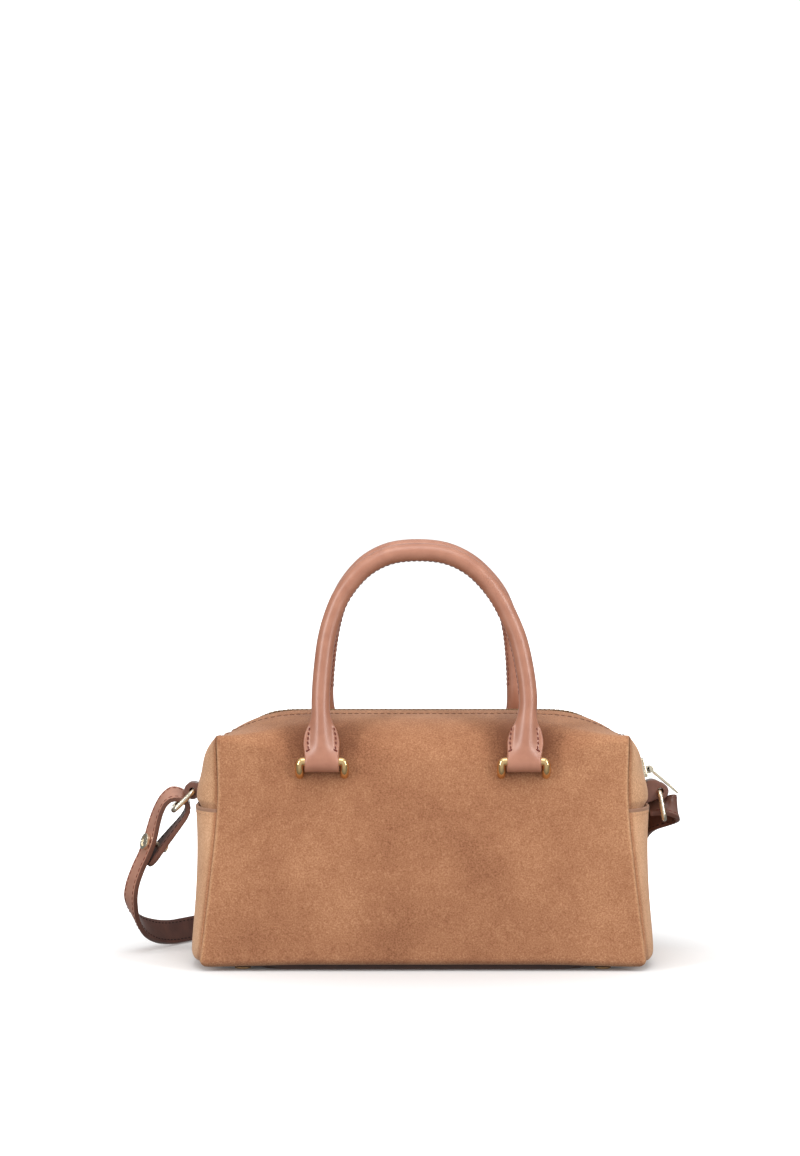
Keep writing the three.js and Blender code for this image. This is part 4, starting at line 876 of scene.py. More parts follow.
def gusset_points(side):
    rows = []
    for z, reach, turned_in in GUSSET_ROWS:
        low = 1 - float(blend_step(z, *GUSSET_LOW))
        seam_reach = face_reach(z) - SEAM_TUCK - LOW_TUCK * low
        t = np.linspace(-1, 1, GUSSET_COLUMNS)
        by_face = side_half(z) + dart_wide(z) - LOW_NARROW * low
        x = mix(reach, by_face, np.abs(t) ** GUSSET_ROUNDNESS) - turned_in
        lift = LOW_LIFT * low * blend_step(np.abs(t), *LIFT_FROM)
        row = np.stack([side * x, t * seam_reach, z + lift], axis=1)
        dive = np.array([[-side * DART_DEEP / 2, DART_DEEP, 0], [-side * DART_DEEP / 2, -DART_DEEP, 0]])
        rows.append(np.concatenate([row[:1] + dive[:1], row, row[-1:] + dive[1:]]))
    return np.array(rows)


def by_the_top(places):
    return places[:, 2] > GUSSET_PAINT_ABOVE


for side_name, side in (("left", -1), ("right", 1)):
    points = gusset_points(side)
    line = points[GUSSET_SEAM_ROW, 2:-2]
    points[GUSSET_SEAM_ROW, :, 0] -= side * END_SEAM_PRESS
    end = loft(f"suede_end_{side_name}", points)
    face_away(end, END_INSIDE)
    finish_with(end, "SOLIDIFY", thickness=WALL * MM, offset=-1)
    smooth_twice(end)
    paint_light_nap_and_edge(end, by_the_top)
    dress(end, "bag", "suede", lit_end_suede, stands_for=[f"gusset_{side_name}"], sharp=80)
    up = unit(np.cross(along_line(line), points[GUSSET_SEAM_ROW + 1, 2:-2] - line))
    up *= np.sign(up[:, :1] * side + 1e-9)
    stitches = seam(line, up, pitch=3.2, length=2.0, thick=0.35)
    sew(f"end_seam_{side_name}", stitches, "bag", "suede", pale_thread)
print("end panels:", 2, "columns:", GUSSET_COLUMNS)

# %% [markdown]
# Along the zip each panel is folded and sewn down, eight millimetres from its edge. The rows that shaped the
# sheet also say where the seam runs, over the ears and along the top.

# %% Seams along the zip
ZIP_SEAM_SUNK, BAG_MIDDLE = 0.25, np.array([0, 0, 60])


def zip_seam_line(row):
    """The whole line of a row, up the left ear, along the top and down the right ear."""
    return np.concatenate([ears[-1][row, -5:0:-1], front[row], ears[1][row, 1:-4]])


def zip_seam(name, facing):
    line, beside = zip_seam_line(SEAM_ROW), zip_seam_line(SEAM_ROW + 1)
    flip = np.array([1, facing, 1])
    line, beside = line * flip, beside * flip
    up = unit(np.cross(along_line(line), beside - line))
    up *= np.sign(np.sum(up * (line - BAG_MIDDLE), axis=1, keepdims=True))
    stitches = seam(line - up * ZIP_SEAM_SUNK, up, pitch=3.7, length=2.7, thick=0.36)
    return sew(name, stitches, "bag", "suede", brown_thread)


zip_seams = [zip_seam("zip_seam_front", -1), zip_seam("zip_seam_back", 1)]
print("zip seam faces:", [len(row.data.polygons) for row in zip_seams])

# %% [markdown]
# Under the bag lies a sheet of dark leather with a thicker middle, which the bag stands on, and four low
# brass feet. A cube is scaled to size, its upright edges get a wide bevel and all others a small one.

# %% Base and feet
BASE_SHEET, BASE_PAD = (112, 51, 1.9, 3.05, 14), (92, 49, 0, 2.4, 16)
FOOT_X, FOOT_Y, FOOT_ROUND, FOOT_HIGH, FOOT_BEVEL = 101, 44, 4.6, 1.55, 0.6


def rounded_plate(name, half_x, half_y, low_z, high_z, corner, soft=0.35):
    """A flat plate with round corners, in millimetres."""
    bpy.ops.object.select_all(action="DESELECT")
    bpy.ops.mesh.primitive_cube_add(size=2, location=(0, 0, 0))
    plate = bpy.context.object
    plate.name = name
    thick = (high_z - low_z) / 2
    plate.data.transform(Matrix.Diagonal((half_x * MM, half_y * MM, thick * MM, 1)))
    bpy.ops.object.mode_set(mode="EDIT")
    bpy.ops.mesh.select_mode(type="EDGE")
    bpy.ops.mesh.select_all(action="DESELECT")
    bpy.ops.object.mode_set(mode="OBJECT")
    for edge in plate.data.edges:
        ends = [plate.data.vertices[i].co for i in edge.vertices]
        edge.select = abs(ends[0].z - ends[1].z) > 0
    bpy.ops.object.mode_set(mode="EDIT")
    bpy.ops.mesh.bevel(offset=corner * MM, segments=10)
    bpy.ops.mesh.select_mode(type="VERT")
    bpy.ops.object.mode_set(mode="OBJECT")
    finish_with(plate, "BEVEL", width=soft * MM, segments=2, limit_method="ANGLE", angle_limit=radians(60))
    plate.data.transform(Matrix.Translation((0, 0, (low_z + high_z) / 2 * MM)))
    return plate


base = joined("leather_base", [rounded_plate("base_sheet", *BASE_SHEET),
                               rounded_plate("base_pad", *BASE_PAD)])
# The base's dark finish is partly painted shade under the bag.
dress(base, "bag", "dark_leather", base_leather_and_shade, stands_for=["base_panel"])

FOOT_PLACES = {f"{face}_{hand}": (x, y) for face, y in (("front", -FOOT_Y), ("back", FOOT_Y))
               for hand, x in (("left", -FOOT_X), ("right", FOOT_X))}
for foot_name, (x, y) in FOOT_PLACES.items():
    bpy.ops.object.select_all(action="DESELECT")
    bpy.ops.mesh.primitive_cylinder_add(vertices=32, radius=FOOT_ROUND * MM, depth=FOOT_HIGH * MM)
    foot = bpy.context.object
    foot.name = f"brass_foot_{foot_name}"
    finish_with(foot, "BEVEL", width=FOOT_BEVEL * MM, segments=3, limit_method="ANGLE",
                angle_limit=radians(50))
    foot.data.transform(Matrix.Translation((x * MM, y * MM, FOOT_HIGH / 2 * MM)))
    dress(foot, "bag", "brass", dull_gold, stands_for=[f"foot_{foot_name}"])
print("base and feet:", 1 + len(FOOT_PLACES))

# %% [markdown]
# The zip runs from end to end. Its tape is a band swept along the zip line, and its teeth are one small
# bevelled block, copied along both sides and shifted by half a pitch, so that the two rows mesh.

# %% Zip tape and teeth
ZIP_LOW_END = 103.4
TAPE_HALF, TAPE_LOW, TAPE_HIGH = 7, -4, -3.15
TOOTH_PITCH, TOOTH_SIZE, TOOTH_BEVEL, TOOTH_SIDE = 2.7, (1.25, 3.0, 2.7), 0.22, 1.35
TOOTH_SUNK, END_SUNK, SINKS_BETWEEN = 1.3, 1.8, (84, 104)


def zip_line():
    """The whole zip line from the left low end to the right one, with its outward direction."""
    turns = np.concatenate([np.linspace(0, WIDE_TURN, 14)[:-1], np.linspace(WIDE_TURN, END_TURN, 16)])
    half = [(*top_line_at(turn), turn) for turn in turns]
    half = [(x, TOP_HEIGHT, 0) for x in np.linspace(0, TOP_FLAT_HALF, 12)[:-1]] + half
    half.append((top_reach(ZIP_LOW_END), ZIP_LOW_END, END_TURN))
    right = np.array(half)
    left = right[:0:-1] * np.array([-1, 1, -1])
    both = np.concatenate([left, right])
    points = np.stack([both[:, 0], np.zeros(len(both)), both[:, 1]], axis=1)
    return points, np.stack([np.sin(both[:, 2]), np.zeros(len(both)), np.cos(both[:, 2])], axis=1)


line, up = zip_line()
sideways = np.array([0, 1.0, 0])
band = [(-TAPE_HALF, TAPE_LOW), (TAPE_HALF, TAPE_LOW), (TAPE_HALF, TAPE_HIGH), (-TAPE_HALF, TAPE_HIGH)]
tape = tube("zip_tape_band", np.stack([line + sideways * y + up * z for y, z in band], axis=1))
dress(tape, "bag", "zip_cloth", tape_cloth, stands_for=["zip_tape"])

bpy.ops.object.select_all(action="DESELECT")
bpy.ops.mesh.primitive_cube_add(size=1)
tooth = bpy.context.object
tooth.data.transform(Matrix.Diagonal((*TOOTH_SIZE, 1)))
finish_with(tooth, "BEVEL", width=TOOTH_BEVEL, segments=1)
tooth_points = np.array([v.co for v in tooth.data.vertices])
tooth_faces = [tuple(p.vertices) for p in tooth.data.polygons]
bpy.data.objects.remove(tooth)
tooth_places = []
for side, start in ((-1, 0), (1, 1)):
    middles, outs, ways = even_steps(line, TOOTH_PITCH / 2, up, along_line(line))
    for middle, out, way in list(zip(middles, unit(outs), unit(ways)))[start::2]:
        sunk = TOOTH_SUNK + END_SUNK * float(blend_step(abs(middle[0]), *SINKS_BETWEEN))
        tooth_middle = middle + sideways * side * TOOTH_SIDE - out * sunk
        tooth_places.append((np.array([way, sideways, out]), tooth_middle))
dress(copies("zip_teeth", tooth_points, tooth_faces, tooth_places), "bag", "pale_brass", dull_gold,
      stands_for=["zip_chain"], sharp=30)
print("teeth:", len(tooth_places))

# %% [markdown]
# The slider sits at the right end. It is a bevelled plate over the teeth with two lips, two lugs and a pin;
# its puller is a slim tongue that hangs on the pin and leans on the leather loop below.

# %% Slider and puller
SLIDER_HEIGHT = 109.2
PIN_ALONG, PIN_OUT, PIN_RADIUS, LUG_RADIUS = 1.8, 5.0, 0.85, 2.0
SLIDER_LONG, SLIDER_HALF, LIP_INNER, LUG_INNER, LUG_OUTER = 5.5, 4.7, 3.4, 2.2, 3.5
PLATE_LOW, PLATE_HIGH, LIP_LOW, LIP_HIGH, LUG_LOW = 1.3, 2.7, -1.2, 1.8, 2.2
EYE_RADIUS, EYE_HALF, EYE_HOLE = 1.9, 1.85, 1.2
NECK_FROM, NECK_TO, NECK_THICK = 1.5, 3.9, 0.65
TONGUE_FROM, TONGUE_TO, TONGUE_HALF, TONGUE_THICK = 2.9, 21, 3, 0.8
PULLER_DROP = radians(40)


def block(low, high, soft=0.3):
    """A bevelled block between two corners, in millimetres."""
    low, high = Vector(low), Vector(high)
    bpy.ops.object.select_all(action="DESELECT")
    bpy.ops.mesh.primitive_cube_add(size=1)
    made = bpy.context.object
    size = Matrix.Diagonal((*((high - low) * MM), 1))
    made.data.transform(Matrix.Translation((low + high) / 2 * MM) @ size)
    finish_with(made, "BEVEL", width=soft * MM, segments=2)
    return made


def rod(radius, low_y, high_y, x=0.0, z=0.0, hole=0.0):
    """A round rod along Y with softened ends, or a short tube when it has a hole; in millimetres."""
    bpy.ops.object.select_all(action="DESELECT")
    bpy.ops.mesh.primitive_cylinder_add(vertices=24, radius=radius * MM, depth=(high_y - low_y) * MM)
    made = bpy.context.object
    if hole:
        bpy.ops.mesh.primitive_cylinder_add(vertices=24, radius=hole * MM, depth=2 * (high_y - low_y) * MM)
        cutter = bpy.context.object
        finish_with(made, "BOOLEAN", object=cutter, operation="DIFFERENCE")
        bpy.data.objects.remove(cutter)
    finish_with(made, "BEVEL", width=0.15 * MM, segments=2, limit_method="ANGLE", angle_limit=radians(50))
    turn = Matrix.Rotation(pi / 2, 4, "X")
    made.data.transform(Matrix.Translation(Vector((x, (low_y + high_y) / 2, z)) * MM) @ turn)
    return made


slider_at = Vector((top_reach(SLIDER_HEIGHT), 0, SLIDER_HEIGHT)) * MM
slider_place = Matrix.Translation(slider_at) @ Matrix.Rotation(END_TURN, 4, "Y")
parts = [block((-SLIDER_LONG, -SLIDER_HALF, PLATE_LOW), (SLIDER_LONG, SLIDER_HALF, PLATE_HIGH), 0.5),
         rod(PIN_RADIUS, -LIP_INNER, LIP_INNER, PIN_ALONG, PIN_OUT)]
for side in (-1, 1):
    lip = sorted((side * LIP_INNER, side * SLIDER_HALF))
    lug = sorted((side * LUG_INNER, side * LUG_OUTER))
    parts.append(block((-SLIDER_LONG, lip[0], LIP_LOW), (SLIDER_LONG, lip[1], LIP_HIGH), 0.3))
    parts.append(block((PIN_ALONG - LUG_RADIUS, lug[0], LUG_LOW),
                       (PIN_ALONG + LUG_RADIUS, lug[1], PIN_OUT), 0.2))
    parts.append(rod(LUG_RADIUS, lug[0], lug[1], PIN_ALONG, PIN_OUT))
slider = joined("brass_slider", parts)
slider.data.transform(slider_place)
dress(slider, "bag", "pale_brass", pale_gold, stands_for=["zip_slider"])

tongue = [rod(EYE_RADIUS, -EYE_HALF, EYE_HALF, hole=EYE_HOLE),
          block((NECK_FROM, -EYE_HALF, -NECK_THICK), (NECK_TO, EYE_HALF, NECK_THICK), 0.2),
          block((TONGUE_FROM, -TONGUE_HALF, -TONGUE_THICK), (TONGUE_TO, TONGUE_HALF, TONGUE_THICK), 0.35)]
puller = joined("brass_puller", tongue)
pin_place = slider_place @ Matrix.Translation(Vector((PIN_ALONG, 0, PIN_OUT)) * MM)
puller.data.transform(pin_place @ Matrix.Rotation(PULLER_DROP - END_TURN, 4, "Y"))
dress(puller, "puller", "pale_brass", pale_gold, stands_for=["zip_puller"])
print("slider parts:", len(parts), "puller parts:", len(tongue))

# %% [markdown]
# A handle is a cord rolled into leather. Near its ends the roll opens into a flat foot with a ridge that
# fades into a band, and the band wraps the bar of a staple. Its sections are worked out row by row: how wide
# it is, how far its ridge and its wings stand out, and how much it is still a round roll.

# %% Handle sections
BAR_HEIGHT, BAR_REACH = 116.5, 53.2
HANDLE_LEAN, HANDLE_SWAY, BACK_EXTRA = radians(4), -2.3, 3.5
ROLL_RADIUS, LOOP_OUTER, LOOP_BORE = 5.1, 4.8, 2.75
HANDLE_STEPS, HANDLE_SIDES = 4, 48
WING_THICK, THIN_BACK, LOOP_DROP, BAND_TOP = 1.5, 0.6, 6.0, 4.5
CREST_POWERS, CREST_HEIGHTS, EDGE_STEEP, EDGE_POWER = (0.55, 1.35), (0, 8), 3.2, 0.7
# Rise, half width, ridge, wing, swell and how flat the section is, from the band's end up to the roll
FOOT_ROWS = [
    (-5.9, 9.4, 0.6, 0.6, 9.7, 1), (-5.4, 9.6, 2.1, 2.1, 9.7, 1), (-3.8, 9.7, 3.75, 3.75, 9.7, 1),
    (-1.6, 9.7, 4.65, 4.45, 9.7, 1), (1, 9.7, 4.85, 4.1, 9.4, 1), (4, 9.7, 4.9, 3.1, 8.7, 1),
    (7, 9.9, 4.95, 2.3, 8.0, 1), (10, 10.1, 5.0, 1.8, 7.4, 1), (14, 9.6, 5.1, 1.6, 7.1, 1),
    (18, 8.5, 5.2, 1.5, 7.0, 0.95), (22.5, 6.9, 5.3, 1.5, 6.9, 0.6), (27, 6.0, 5.3, 1.5, 6.4, 0.25),
]
ARCH_RISES = [33.5, 46.5, 67, 79.5, 91, 101, 109.6, 115.6]
FRONT_ARCH = {-1: [57.2, 56.4, 53.4, 49.8, 44.8, 37.8, 28.6, 16],
              1: [58.9, 58.0, 54.5, 50.2, 44.8, 37.8, 28.6, 16]}
BACK_ARCH = {-1: [57.6, 56.8, 53.6, 50.2, 45.4, 38.4, 29.2, 16.4],
             1: [56, 55.8, 54.6, 52.4, 47.6, 40, 30, 16.6]}
ARCH_TOP_RISE = 117.4


def handle_line(arch, extra):
    """Middle line from the left bar to the right bar: x, nothing, rise, then the section's sizes."""
    stretch = (ARCH_TOP_RISE + extra) / ARCH_TOP_RISE
    roll = (ROLL_RADIUS, ROLL_RADIUS, WING_THICK, ROLL_RADIUS, 0)
    top = (HANDLE_SWAY, 0, ARCH_TOP_RISE * stretch, *roll)
    legs = {}
    for side in (-1, 1):
        first = arch[side][0]
        legs[side] = [(side * mix(BAR_X, first, max(row[0], 0) / ARCH_RISES[0]), 0, *row)
                      for row in FOOT_ROWS]
        for x, rise in zip(arch[side], ARCH_RISES):
            sway = HANDLE_SWAY * float(blend_step(rise, ARCH_RISES[0], ARCH_TOP_RISE))
            legs[side].append((side * x + sway, 0, rise * stretch, *roll))
    return smooth_line(legs[-1] + [top] + legs[1][::-1], HANDLE_STEPS)


def handle_section(rise, half_width, ridge, wing, swell, flat):
    """Points round a section: how far across and how far out."""
    turns = np.linspace(0, 2 * pi, HANDLE_SIDES, endpoint=False)
    wide = half_width * np.cos(turns)
    crest_power = mix(*CREST_POWERS, float(blend_step(rise, *CREST_HEIGHTS)))
    crest = np.maximum(1 - (wide / swell) ** 2, 0) ** crest_power
    back = -WING_THICK
    if rise < BAND_TOP:
        back = -LOOP_OUTER * sqrt(max(1 - (rise / (LOOP_DROP if rise < 0 else LOOP_OUTER)) ** 2, 0))
    rounded = np.clip(np.abs(np.sin(turns)) * EDGE_STEEP, 0, 1) ** EDGE_POWER
    level = np.where(np.sin(turns) > 0, mix(wing, ridge, crest), min(back, -THIN_BACK)) * rounded
    return mix(ROLL_RADIUS * np.cos(turns), wide, flat), mix(ROLL_RADIUS * np.sin(turns), level, flat)


print("handle rows:", len(handle_line(FRONT_ARCH, 0)))

# %% [markdown]
# The rings of points become a tube, the bar's bore is cut with a boolean, and the whole handle is leant in
# and set on its bars. The back handle is a little taller and has an arch of its own.
# Seams run on the wings of the feet and end in a slanting tack; two rows close the roll inside the arch.

# %% Handles and their seams
BORE_LONG = 40
FOOT_SEAM_RISES = np.linspace(6.6, 20.5, 13)
FOOT_SEAM_OUT = ([6.6, 8.5, 11, 15, 18, 20.5], [2.7, 2.3, 2.0, 1.9, 2.1, 2.9])
FOOT_SEAM_IN = ([8.5, 20.5], [2.4, 1.2])
TACK_ENDS = [(8.8, 2.7, 5.7), (6.6, 2.95, 6.9)]
ROLL_SEAM_ABOVE, ROLL_SEAM_ROWS, ARCH_MIDDLE, ARCH_SQUEEZE = 36, (0.8, 3.2), 70, 0.8


def handle_to_bag(points, facing):
    """From the handle's own frame, whose bars lie on the X axis, to the bag's frame."""
    y = points[..., 1] * cos(HANDLE_LEAN) + points[..., 2] * sin(HANDLE_LEAN)
    z = points[..., 2] * cos(HANDLE_LEAN) - points[..., 1] * sin(HANDLE_LEAN)
    return np.stack([points[..., 0], -facing * (y - BAR_REACH), z + BAR_HEIGHT], axis=-1)


def make_handle(name, facing, arch, extra):
    line = handle_line(arch, extra)
    middle, along = line[:, :3], along_line(line[:, :3])
    across = np.stack([along[:, 2], np.zeros(len(line)), -along[:, 0]], axis=1)
    rings = []
    for row, place, side in zip(line, middle, across):
        wide, out = handle_section(row[2], *row[3:])
        rings.append(place + wide[:, None] * side + out[:, None] * np.array([0, -1.0, 0]))
    handle = tube(f"leather_{name}", handle_to_bag(np.array(rings), facing))
    for side in (-1, 1):
        bars = handle_to_bag(np.array([[side * BAR_X, 0, 0.0]]), facing)[0]
        bpy.ops.object.select_all(action="DESELECT")
        bpy.ops.mesh.primitive_cylinder_add(vertices=32, radius=LOOP_BORE * MM, depth=BORE_LONG * MM,
                                            location=Vector(bars) * MM, rotation=(0, pi / 2, 0))
        cutter = bpy.context.object
        finish_with(handle, "BOOLEAN", object=cutter, operation="DIFFERENCE")
        bpy.data.objects.remove(cutter)
    body = name.replace("handle_", "") + "_handle"
    dress(handle, body, "smooth_leather", handle_leather, stands_for=[name], sharp=50)
    places = []
    ahead, middle_bar = (handle_to_bag(np.array([[0, y, 0.0]]), facing)[0] for y in (-1.0, 0))
    forward = ahead - middle_bar
    for side in (-1, 1):
        for edge in (-1, 1):
            waist = np.interp(FOOT_SEAM_RISES, [row[0] for row in FOOT_ROWS], [row[1] for row in FOOT_ROWS])
            x = side * BAR_X + edge * (waist - np.interp(FOOT_SEAM_RISES, *FOOT_SEAM_IN))
            out = np.interp(FOOT_SEAM_RISES, *FOOT_SEAM_OUT)
            wing = handle_to_bag(np.stack([x, -out, FOOT_SEAM_RISES], axis=1), facing)
            places += seam(wing, np.tile(forward, (len(wing), 1)), pitch=2.6, length=1.9, thick=0.38,
                           slant=0.15)
            tack = np.array([(side * BAR_X + edge * x, -out, rise) for x, out, rise in TACK_ENDS])
            places += seam(handle_to_bag(tack, facing), np.tile(forward, (2, 1)), pitch=2.4, length=2.6,
                           thick=0.5)
    inside = line[:, 2] > ROLL_SEAM_ABOVE
    towards = np.stack([-middle[:, 0] * ARCH_SQUEEZE, np.zeros(len(line)), ARCH_MIDDLE - middle[:, 2]],
                       axis=1)
    turned = across * np.sign(np.sum(across * towards, axis=1, keepdims=True))
    for y in ROLL_SEAM_ROWS:
        slide = np.sqrt(ROLL_RADIUS ** 2 - y ** 2)
        skin = (middle + turned * slide + np.array([0, y, 0]))[inside]
        ups = handle_to_bag(skin + turned[inside], facing) - handle_to_bag(skin, facing)
        places += seam(handle_to_bag(skin, facing), ups, pitch=3.0, length=2.1, thick=0.3)
    sew(f"{name}_seams", places, body, "smooth_leather", dark_thread)
    return handle


handles = [make_handle("handle_front", -1, FRONT_ARCH, 0),
           make_handle("handle_back", 1, BACK_ARCH, BACK_EXTRA)]
print("handle faces:", [len(handle.data.polygons) for handle in handles])

# %% [markdown]
# The staples, rings and end loops carry the load. A wire is a curve with a round bevel that is made a mesh,
# as one would bend a brass rod. The end loops are strips of brown leather rolled round the ring's bar.

# %% Wires: staples and rings
STAPLE_WIRE = 2.45
STAPLE_ROWS = [(12.5, -7.6, -8.2), (12.5, -4.2, -7.4), (12.55, -1.6, -5.6), (12.55, -0.5, -3.4),
               (12.3, -0.05, -1.3), (11.5, 0, -0.25), (9.8, 0, 0)]
RING_WIRE, RING_LONG, RING_WIDE, RING_CORNER, RING_SLACK = 1.5, 15.8, 19.4, 3.2, 0.2
ENDS = {
    "left": {"side": -1, "reach": 132.2, "height": 96.6, "drop": radians(44), "yaw": radians(6)},
    "right": {"side": 1, "reach": 137.0, "height": 96.3, "drop": radians(80), "yaw": radians(-4)},
}


def wire(name, points, radius, closed=False):
    """A round wire along points, in millimetres."""
    curve = bpy.data.curves.new(name, "CURVE")
    curve.dimensions = "3D"
    curve.bevel_depth = radius * MM
    curve.bevel_resolution = 6
    curve.use_fill_caps = not closed
    spline = curve.splines.new("POLY")
    spline.points.add(len(points) - 1)
    for knot, point in zip(spline.points, points):
        knot.co = (*(np.asarray(point) * MM), 1)
    spline.use_cyclic_u = closed
    made = bpy.data.objects.new(name, curve)
    bpy.context.scene.collection.objects.link(made)
    only(made)
    bpy.ops.object.convert(target="MESH")
    return bpy.context.object


staple_half = [(x, -out, up) for x, out, up in STAPLE_ROWS]
staple_rows = staple_half + [(-x, y, z) for x, y, z in staple_half[::-1]]
staple_line = smooth_line(staple_rows, 6)
for place, facing in (("front", -1), ("back", 1)):
    for hand, right in (("left", -1), ("right", 1)):
        bar_middle = np.array([right * BAR_X, facing * BAR_REACH, BAR_HEIGHT])
        points = staple_line * np.array([1, -facing, 1]) + bar_middle
        staple = wire(f"brass_staple_{place}_{hand}", points, STAPLE_WIRE)
        dress(staple, "bag", "brass", antique_gold, stands_for=[f"staple_{place}_{hand}"])

corner_steps = np.linspace(0, pi / 2, 8)
half = RING_WIDE / 2 - RING_CORNER
ring_corners = [(RING_LONG - RING_CORNER, half, 0), (RING_CORNER, half, pi / 2), (RING_CORNER, -half, pi),
                (RING_LONG - RING_CORNER, -half, 1.5 * pi)]
ring_line = np.array([(x + RING_CORNER * cos(start + a), y + RING_CORNER * sin(start + a), 0)
                      for x, y, start in ring_corners for a in corner_steps])
for hand, end in ENDS.items():
    ring = wire(f"brass_ring_{hand}", ring_line, RING_WIRE, closed=True)
    middle = Vector((end["side"] * (end["reach"] + RING_SLACK * cos(end["drop"])), 0,
                     end["height"] - RING_SLACK * sin(end["drop"])))
    heading = (0 if end["side"] > 0 else pi) + end["yaw"]
    turn = Matrix.Rotation(heading, 4, "Z") @ Matrix.Rotation(end["drop"], 4, "Y")
    ring.data.transform(Matrix.Translation(middle * MM) @ turn)
    dress(ring, "bag", "pale_brass", pale_gold, stands_for=[f"ring_{hand}"])
print("staples: 4, rings:", len(ENDS))

# %% [markdown]
# An end loop is one strip folded double and glued: up behind the end panel's edge, round the ring's bar,
# and back. Its side outline is drawn and filled, extruded to the strip's width, drilled for the bar and
# bevelled. The cut sides get edge paint and the skin stays brown.

# %% End loops
TAB_HALF, TAB_HOLE, TAB_LOW, TAB_BEVEL = 7.0, 1.85, 81.0, 0.6
STEM_INNER, STEM_OUTER, STEM_TOP = 122.8, 126.4, 85
TABS = {
    "left": {"round": 4.9, "from": radians(235), "to": radians(475),
             "below": [(126.4, 89.2), (127, 90.2), (128.6, 91.3)],
             "above": [(127, 101), (124.8, 99), (123.3, 95.5), (122.8, 91)]},
    "right": {"round": 4.8, "from": radians(250), "to": radians(440),
              "below": [(126.6, 88.5), (127.6, 89.2), (129.4, 89.6), (132, 90.4)],
              "above": [(135.6, 102.2), (132.6, 102.9), (129.4, 102), (126.2, 99.4), (123.6, 95.8),
                        (122.8, 91)]},
}


def tab_outline(end, tab):
    """Side outline of a loop, from the stem's foot up round the ring's bar and back."""
    turns = np.linspace(tab["from"], tab["to"], 20)
    curve = [(end["reach"] + tab["round"] * cos(a), end["height"] + tab["round"] * sin(a)) for a in turns]
    rows = [(STEM_OUTER, STEM_TOP), *tab["below"], *curve, *tab["above"], (STEM_INNER, STEM_TOP)]
    line = smooth_line([(x, 0, z) for x, z in rows], 3)
    return [(STEM_INNER, 0, TAB_LOW), (STEM_OUTER, 0, TAB_LOW), *line]


for hand, end in ENDS.items():
    outline = np.array(tab_outline(end, TABS[hand])) * np.array([end["side"], 1, 1])
    outline -= sideways * TAB_HALF
    mesh = bpy.data.meshes.new(f"leather_loop_{hand}")
    mesh.from_pydata((outline * MM).tolist(), [], [tuple(range(len(outline)))])
    tab = bpy.data.objects.new(mesh.name, mesh)
    bpy.context.scene.collection.objects.link(tab)
    coat(tab, loop_leather, dark_edge)
    across = {"value": (0, 2 * TAB_HALF * MM, 0)}
    edit(tab, (bpy.ops.mesh.extrude_region_move, {"TRANSFORM_OT_translate": across}),
         (bpy.ops.mesh.select_all, {"action": "SELECT"}),
         (bpy.ops.mesh.normals_make_consistent, {"inside": False}))
    bpy.ops.mesh.primitive_cylinder_add(vertices=32, radius=TAB_HOLE * MM, depth=4 * TAB_HALF * MM,
                                        rotation=(pi / 2, 0, 0),
                                        location=(end["side"] * end["reach"] * MM, 0, end["height"] * MM))
    drill = bpy.context.object
    finish_with(tab, "BOOLEAN", object=drill, operation="DIFFERENCE")
    bpy.data.objects.remove(drill)
    for polygon in tab.data.polygons:
        polygon.material_index = int(abs(polygon.normal.y) > 0.9)
    finish_with(tab, "BEVEL", width=TAB_BEVEL * MM, segments=3, limit_method="ANGLE", angle_limit=radians(50))
    dress(tab, "bag", "dark_leather", stands_for=[f"tab_{hand}"], sharp=50)
print("loops:", len(ENDS))

# %% [markdown]
# The stud that closes the strap's loop is turned brass: a head with a dished middle, a post through both
# layers and a flat back. A cylinder's top is inset and pushed in, as on a lathe, then softened.

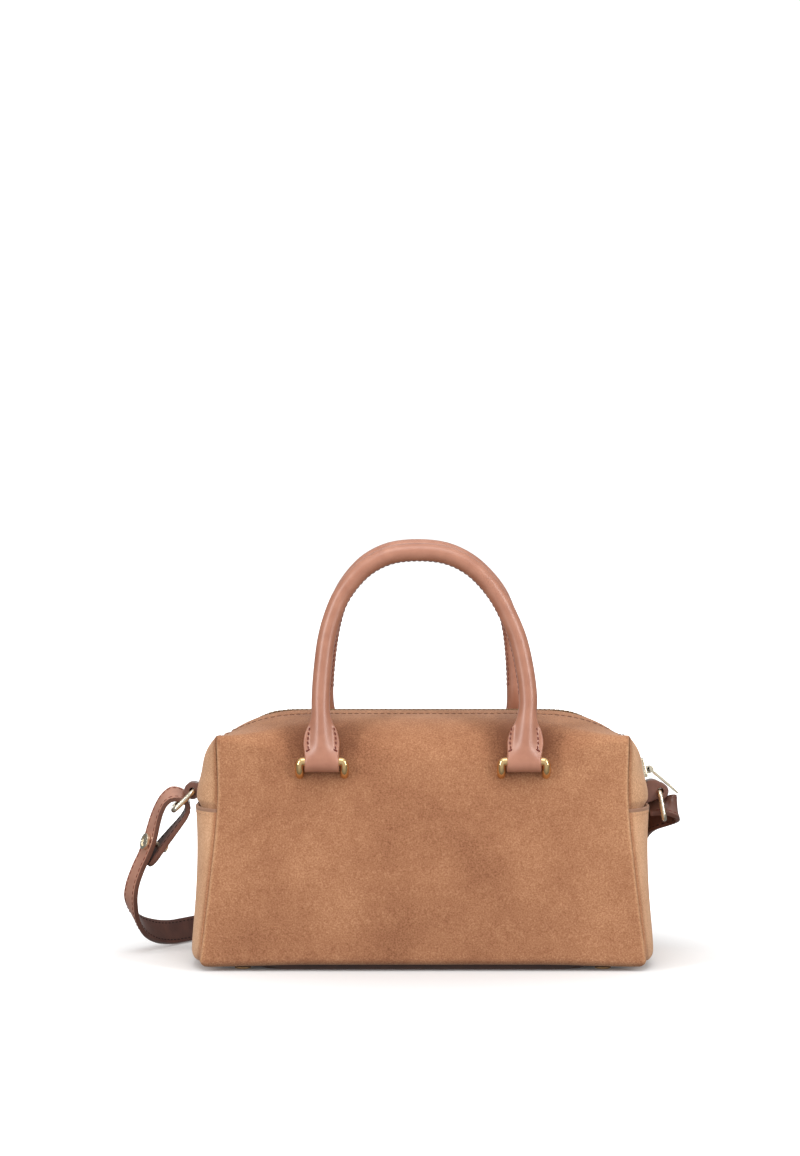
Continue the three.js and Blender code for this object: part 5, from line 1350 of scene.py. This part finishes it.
# %% Strap stud
STUD_ROW = 14
STUD_HEAD, STUD_THICK, STUD_GRIP = 4.8, 2.0, 11.3
STUD_RIM, STUD_DISH, STUD_RING, STUD_BOSS = 1.9, 0.8, 0.7, 0.4
POST_RADIUS, POST_SUNK, BACK_RADIUS, BACK_THICK, STUD_GAP = 1.4, 0.4, 3.4, 1.3, 0.35
stud_at = STUD_ROW * STRAP_STEPS
stud_out = -strap_inner[stud_at]
bpy.ops.object.select_all(action="DESELECT")
bpy.ops.mesh.primitive_cylinder_add(vertices=32, radius=STUD_HEAD, depth=STUD_THICK, location=(0, 0, 0))
stud = bpy.context.object
stud.data.transform(Matrix.Translation((0, 0, STUD_THICK / 2)))
bpy.ops.object.mode_set(mode="EDIT")
bpy.ops.mesh.select_all(action="DESELECT")
bpy.ops.mesh.select_mode(type="FACE")
bpy.ops.object.mode_set(mode="OBJECT")
for polygon in stud.data.polygons:
    polygon.select = polygon.normal.z > 0.9
bpy.ops.object.mode_set(mode="EDIT")
for rim, push in ((STUD_RIM, -STUD_DISH), (STUD_RING, STUD_BOSS)):
    bpy.ops.mesh.inset(thickness=rim)
    bpy.ops.mesh.extrude_region_move(TRANSFORM_OT_translate={"value": (0, 0, push)})
bpy.ops.mesh.select_mode(type="VERT")
bpy.ops.object.mode_set(mode="OBJECT")
finish_with(stud, "BEVEL", width=0.35, segments=3, limit_method="ANGLE", angle_limit=radians(40))
bpy.ops.mesh.primitive_cylinder_add(vertices=24, radius=POST_RADIUS, depth=STUD_GRIP + POST_SUNK,
                                    location=(0, 0, -STUD_GRIP / 2))
post = bpy.context.object
post.data.transform(Matrix.Translation(post.location))
post.location = (0, 0, 0)
bpy.ops.mesh.primitive_cylinder_add(vertices=32, radius=BACK_RADIUS, depth=BACK_THICK, location=(0, 0, 0))
stud_back = bpy.context.object
stud_back.data.transform(Matrix.Translation((0, 0, -STUD_GRIP - BACK_THICK / 2)))
finish_with(stud_back, "BEVEL", width=0.3, segments=2, limit_method="ANGLE", angle_limit=radians(40))
stud = joined("brass_strap_stud", [stud, post, stud_back])
seat = Vector(strap_middle[stud_at] + stud_out * (STRAP_THICK / 2 + STUD_GAP))
turn = Vector((0, 0, 1)).rotation_difference(Vector(stud_out)).to_matrix().to_4x4()
stud.data.transform(Matrix.Translation(seat * MM) @ turn @ Matrix.Scale(MM, 4))
dress(stud, "bag", "pale_brass", pale_gold, stands_for=["strap_stud"])
print("stud at mm:", [round(v, 1) for v in seat])
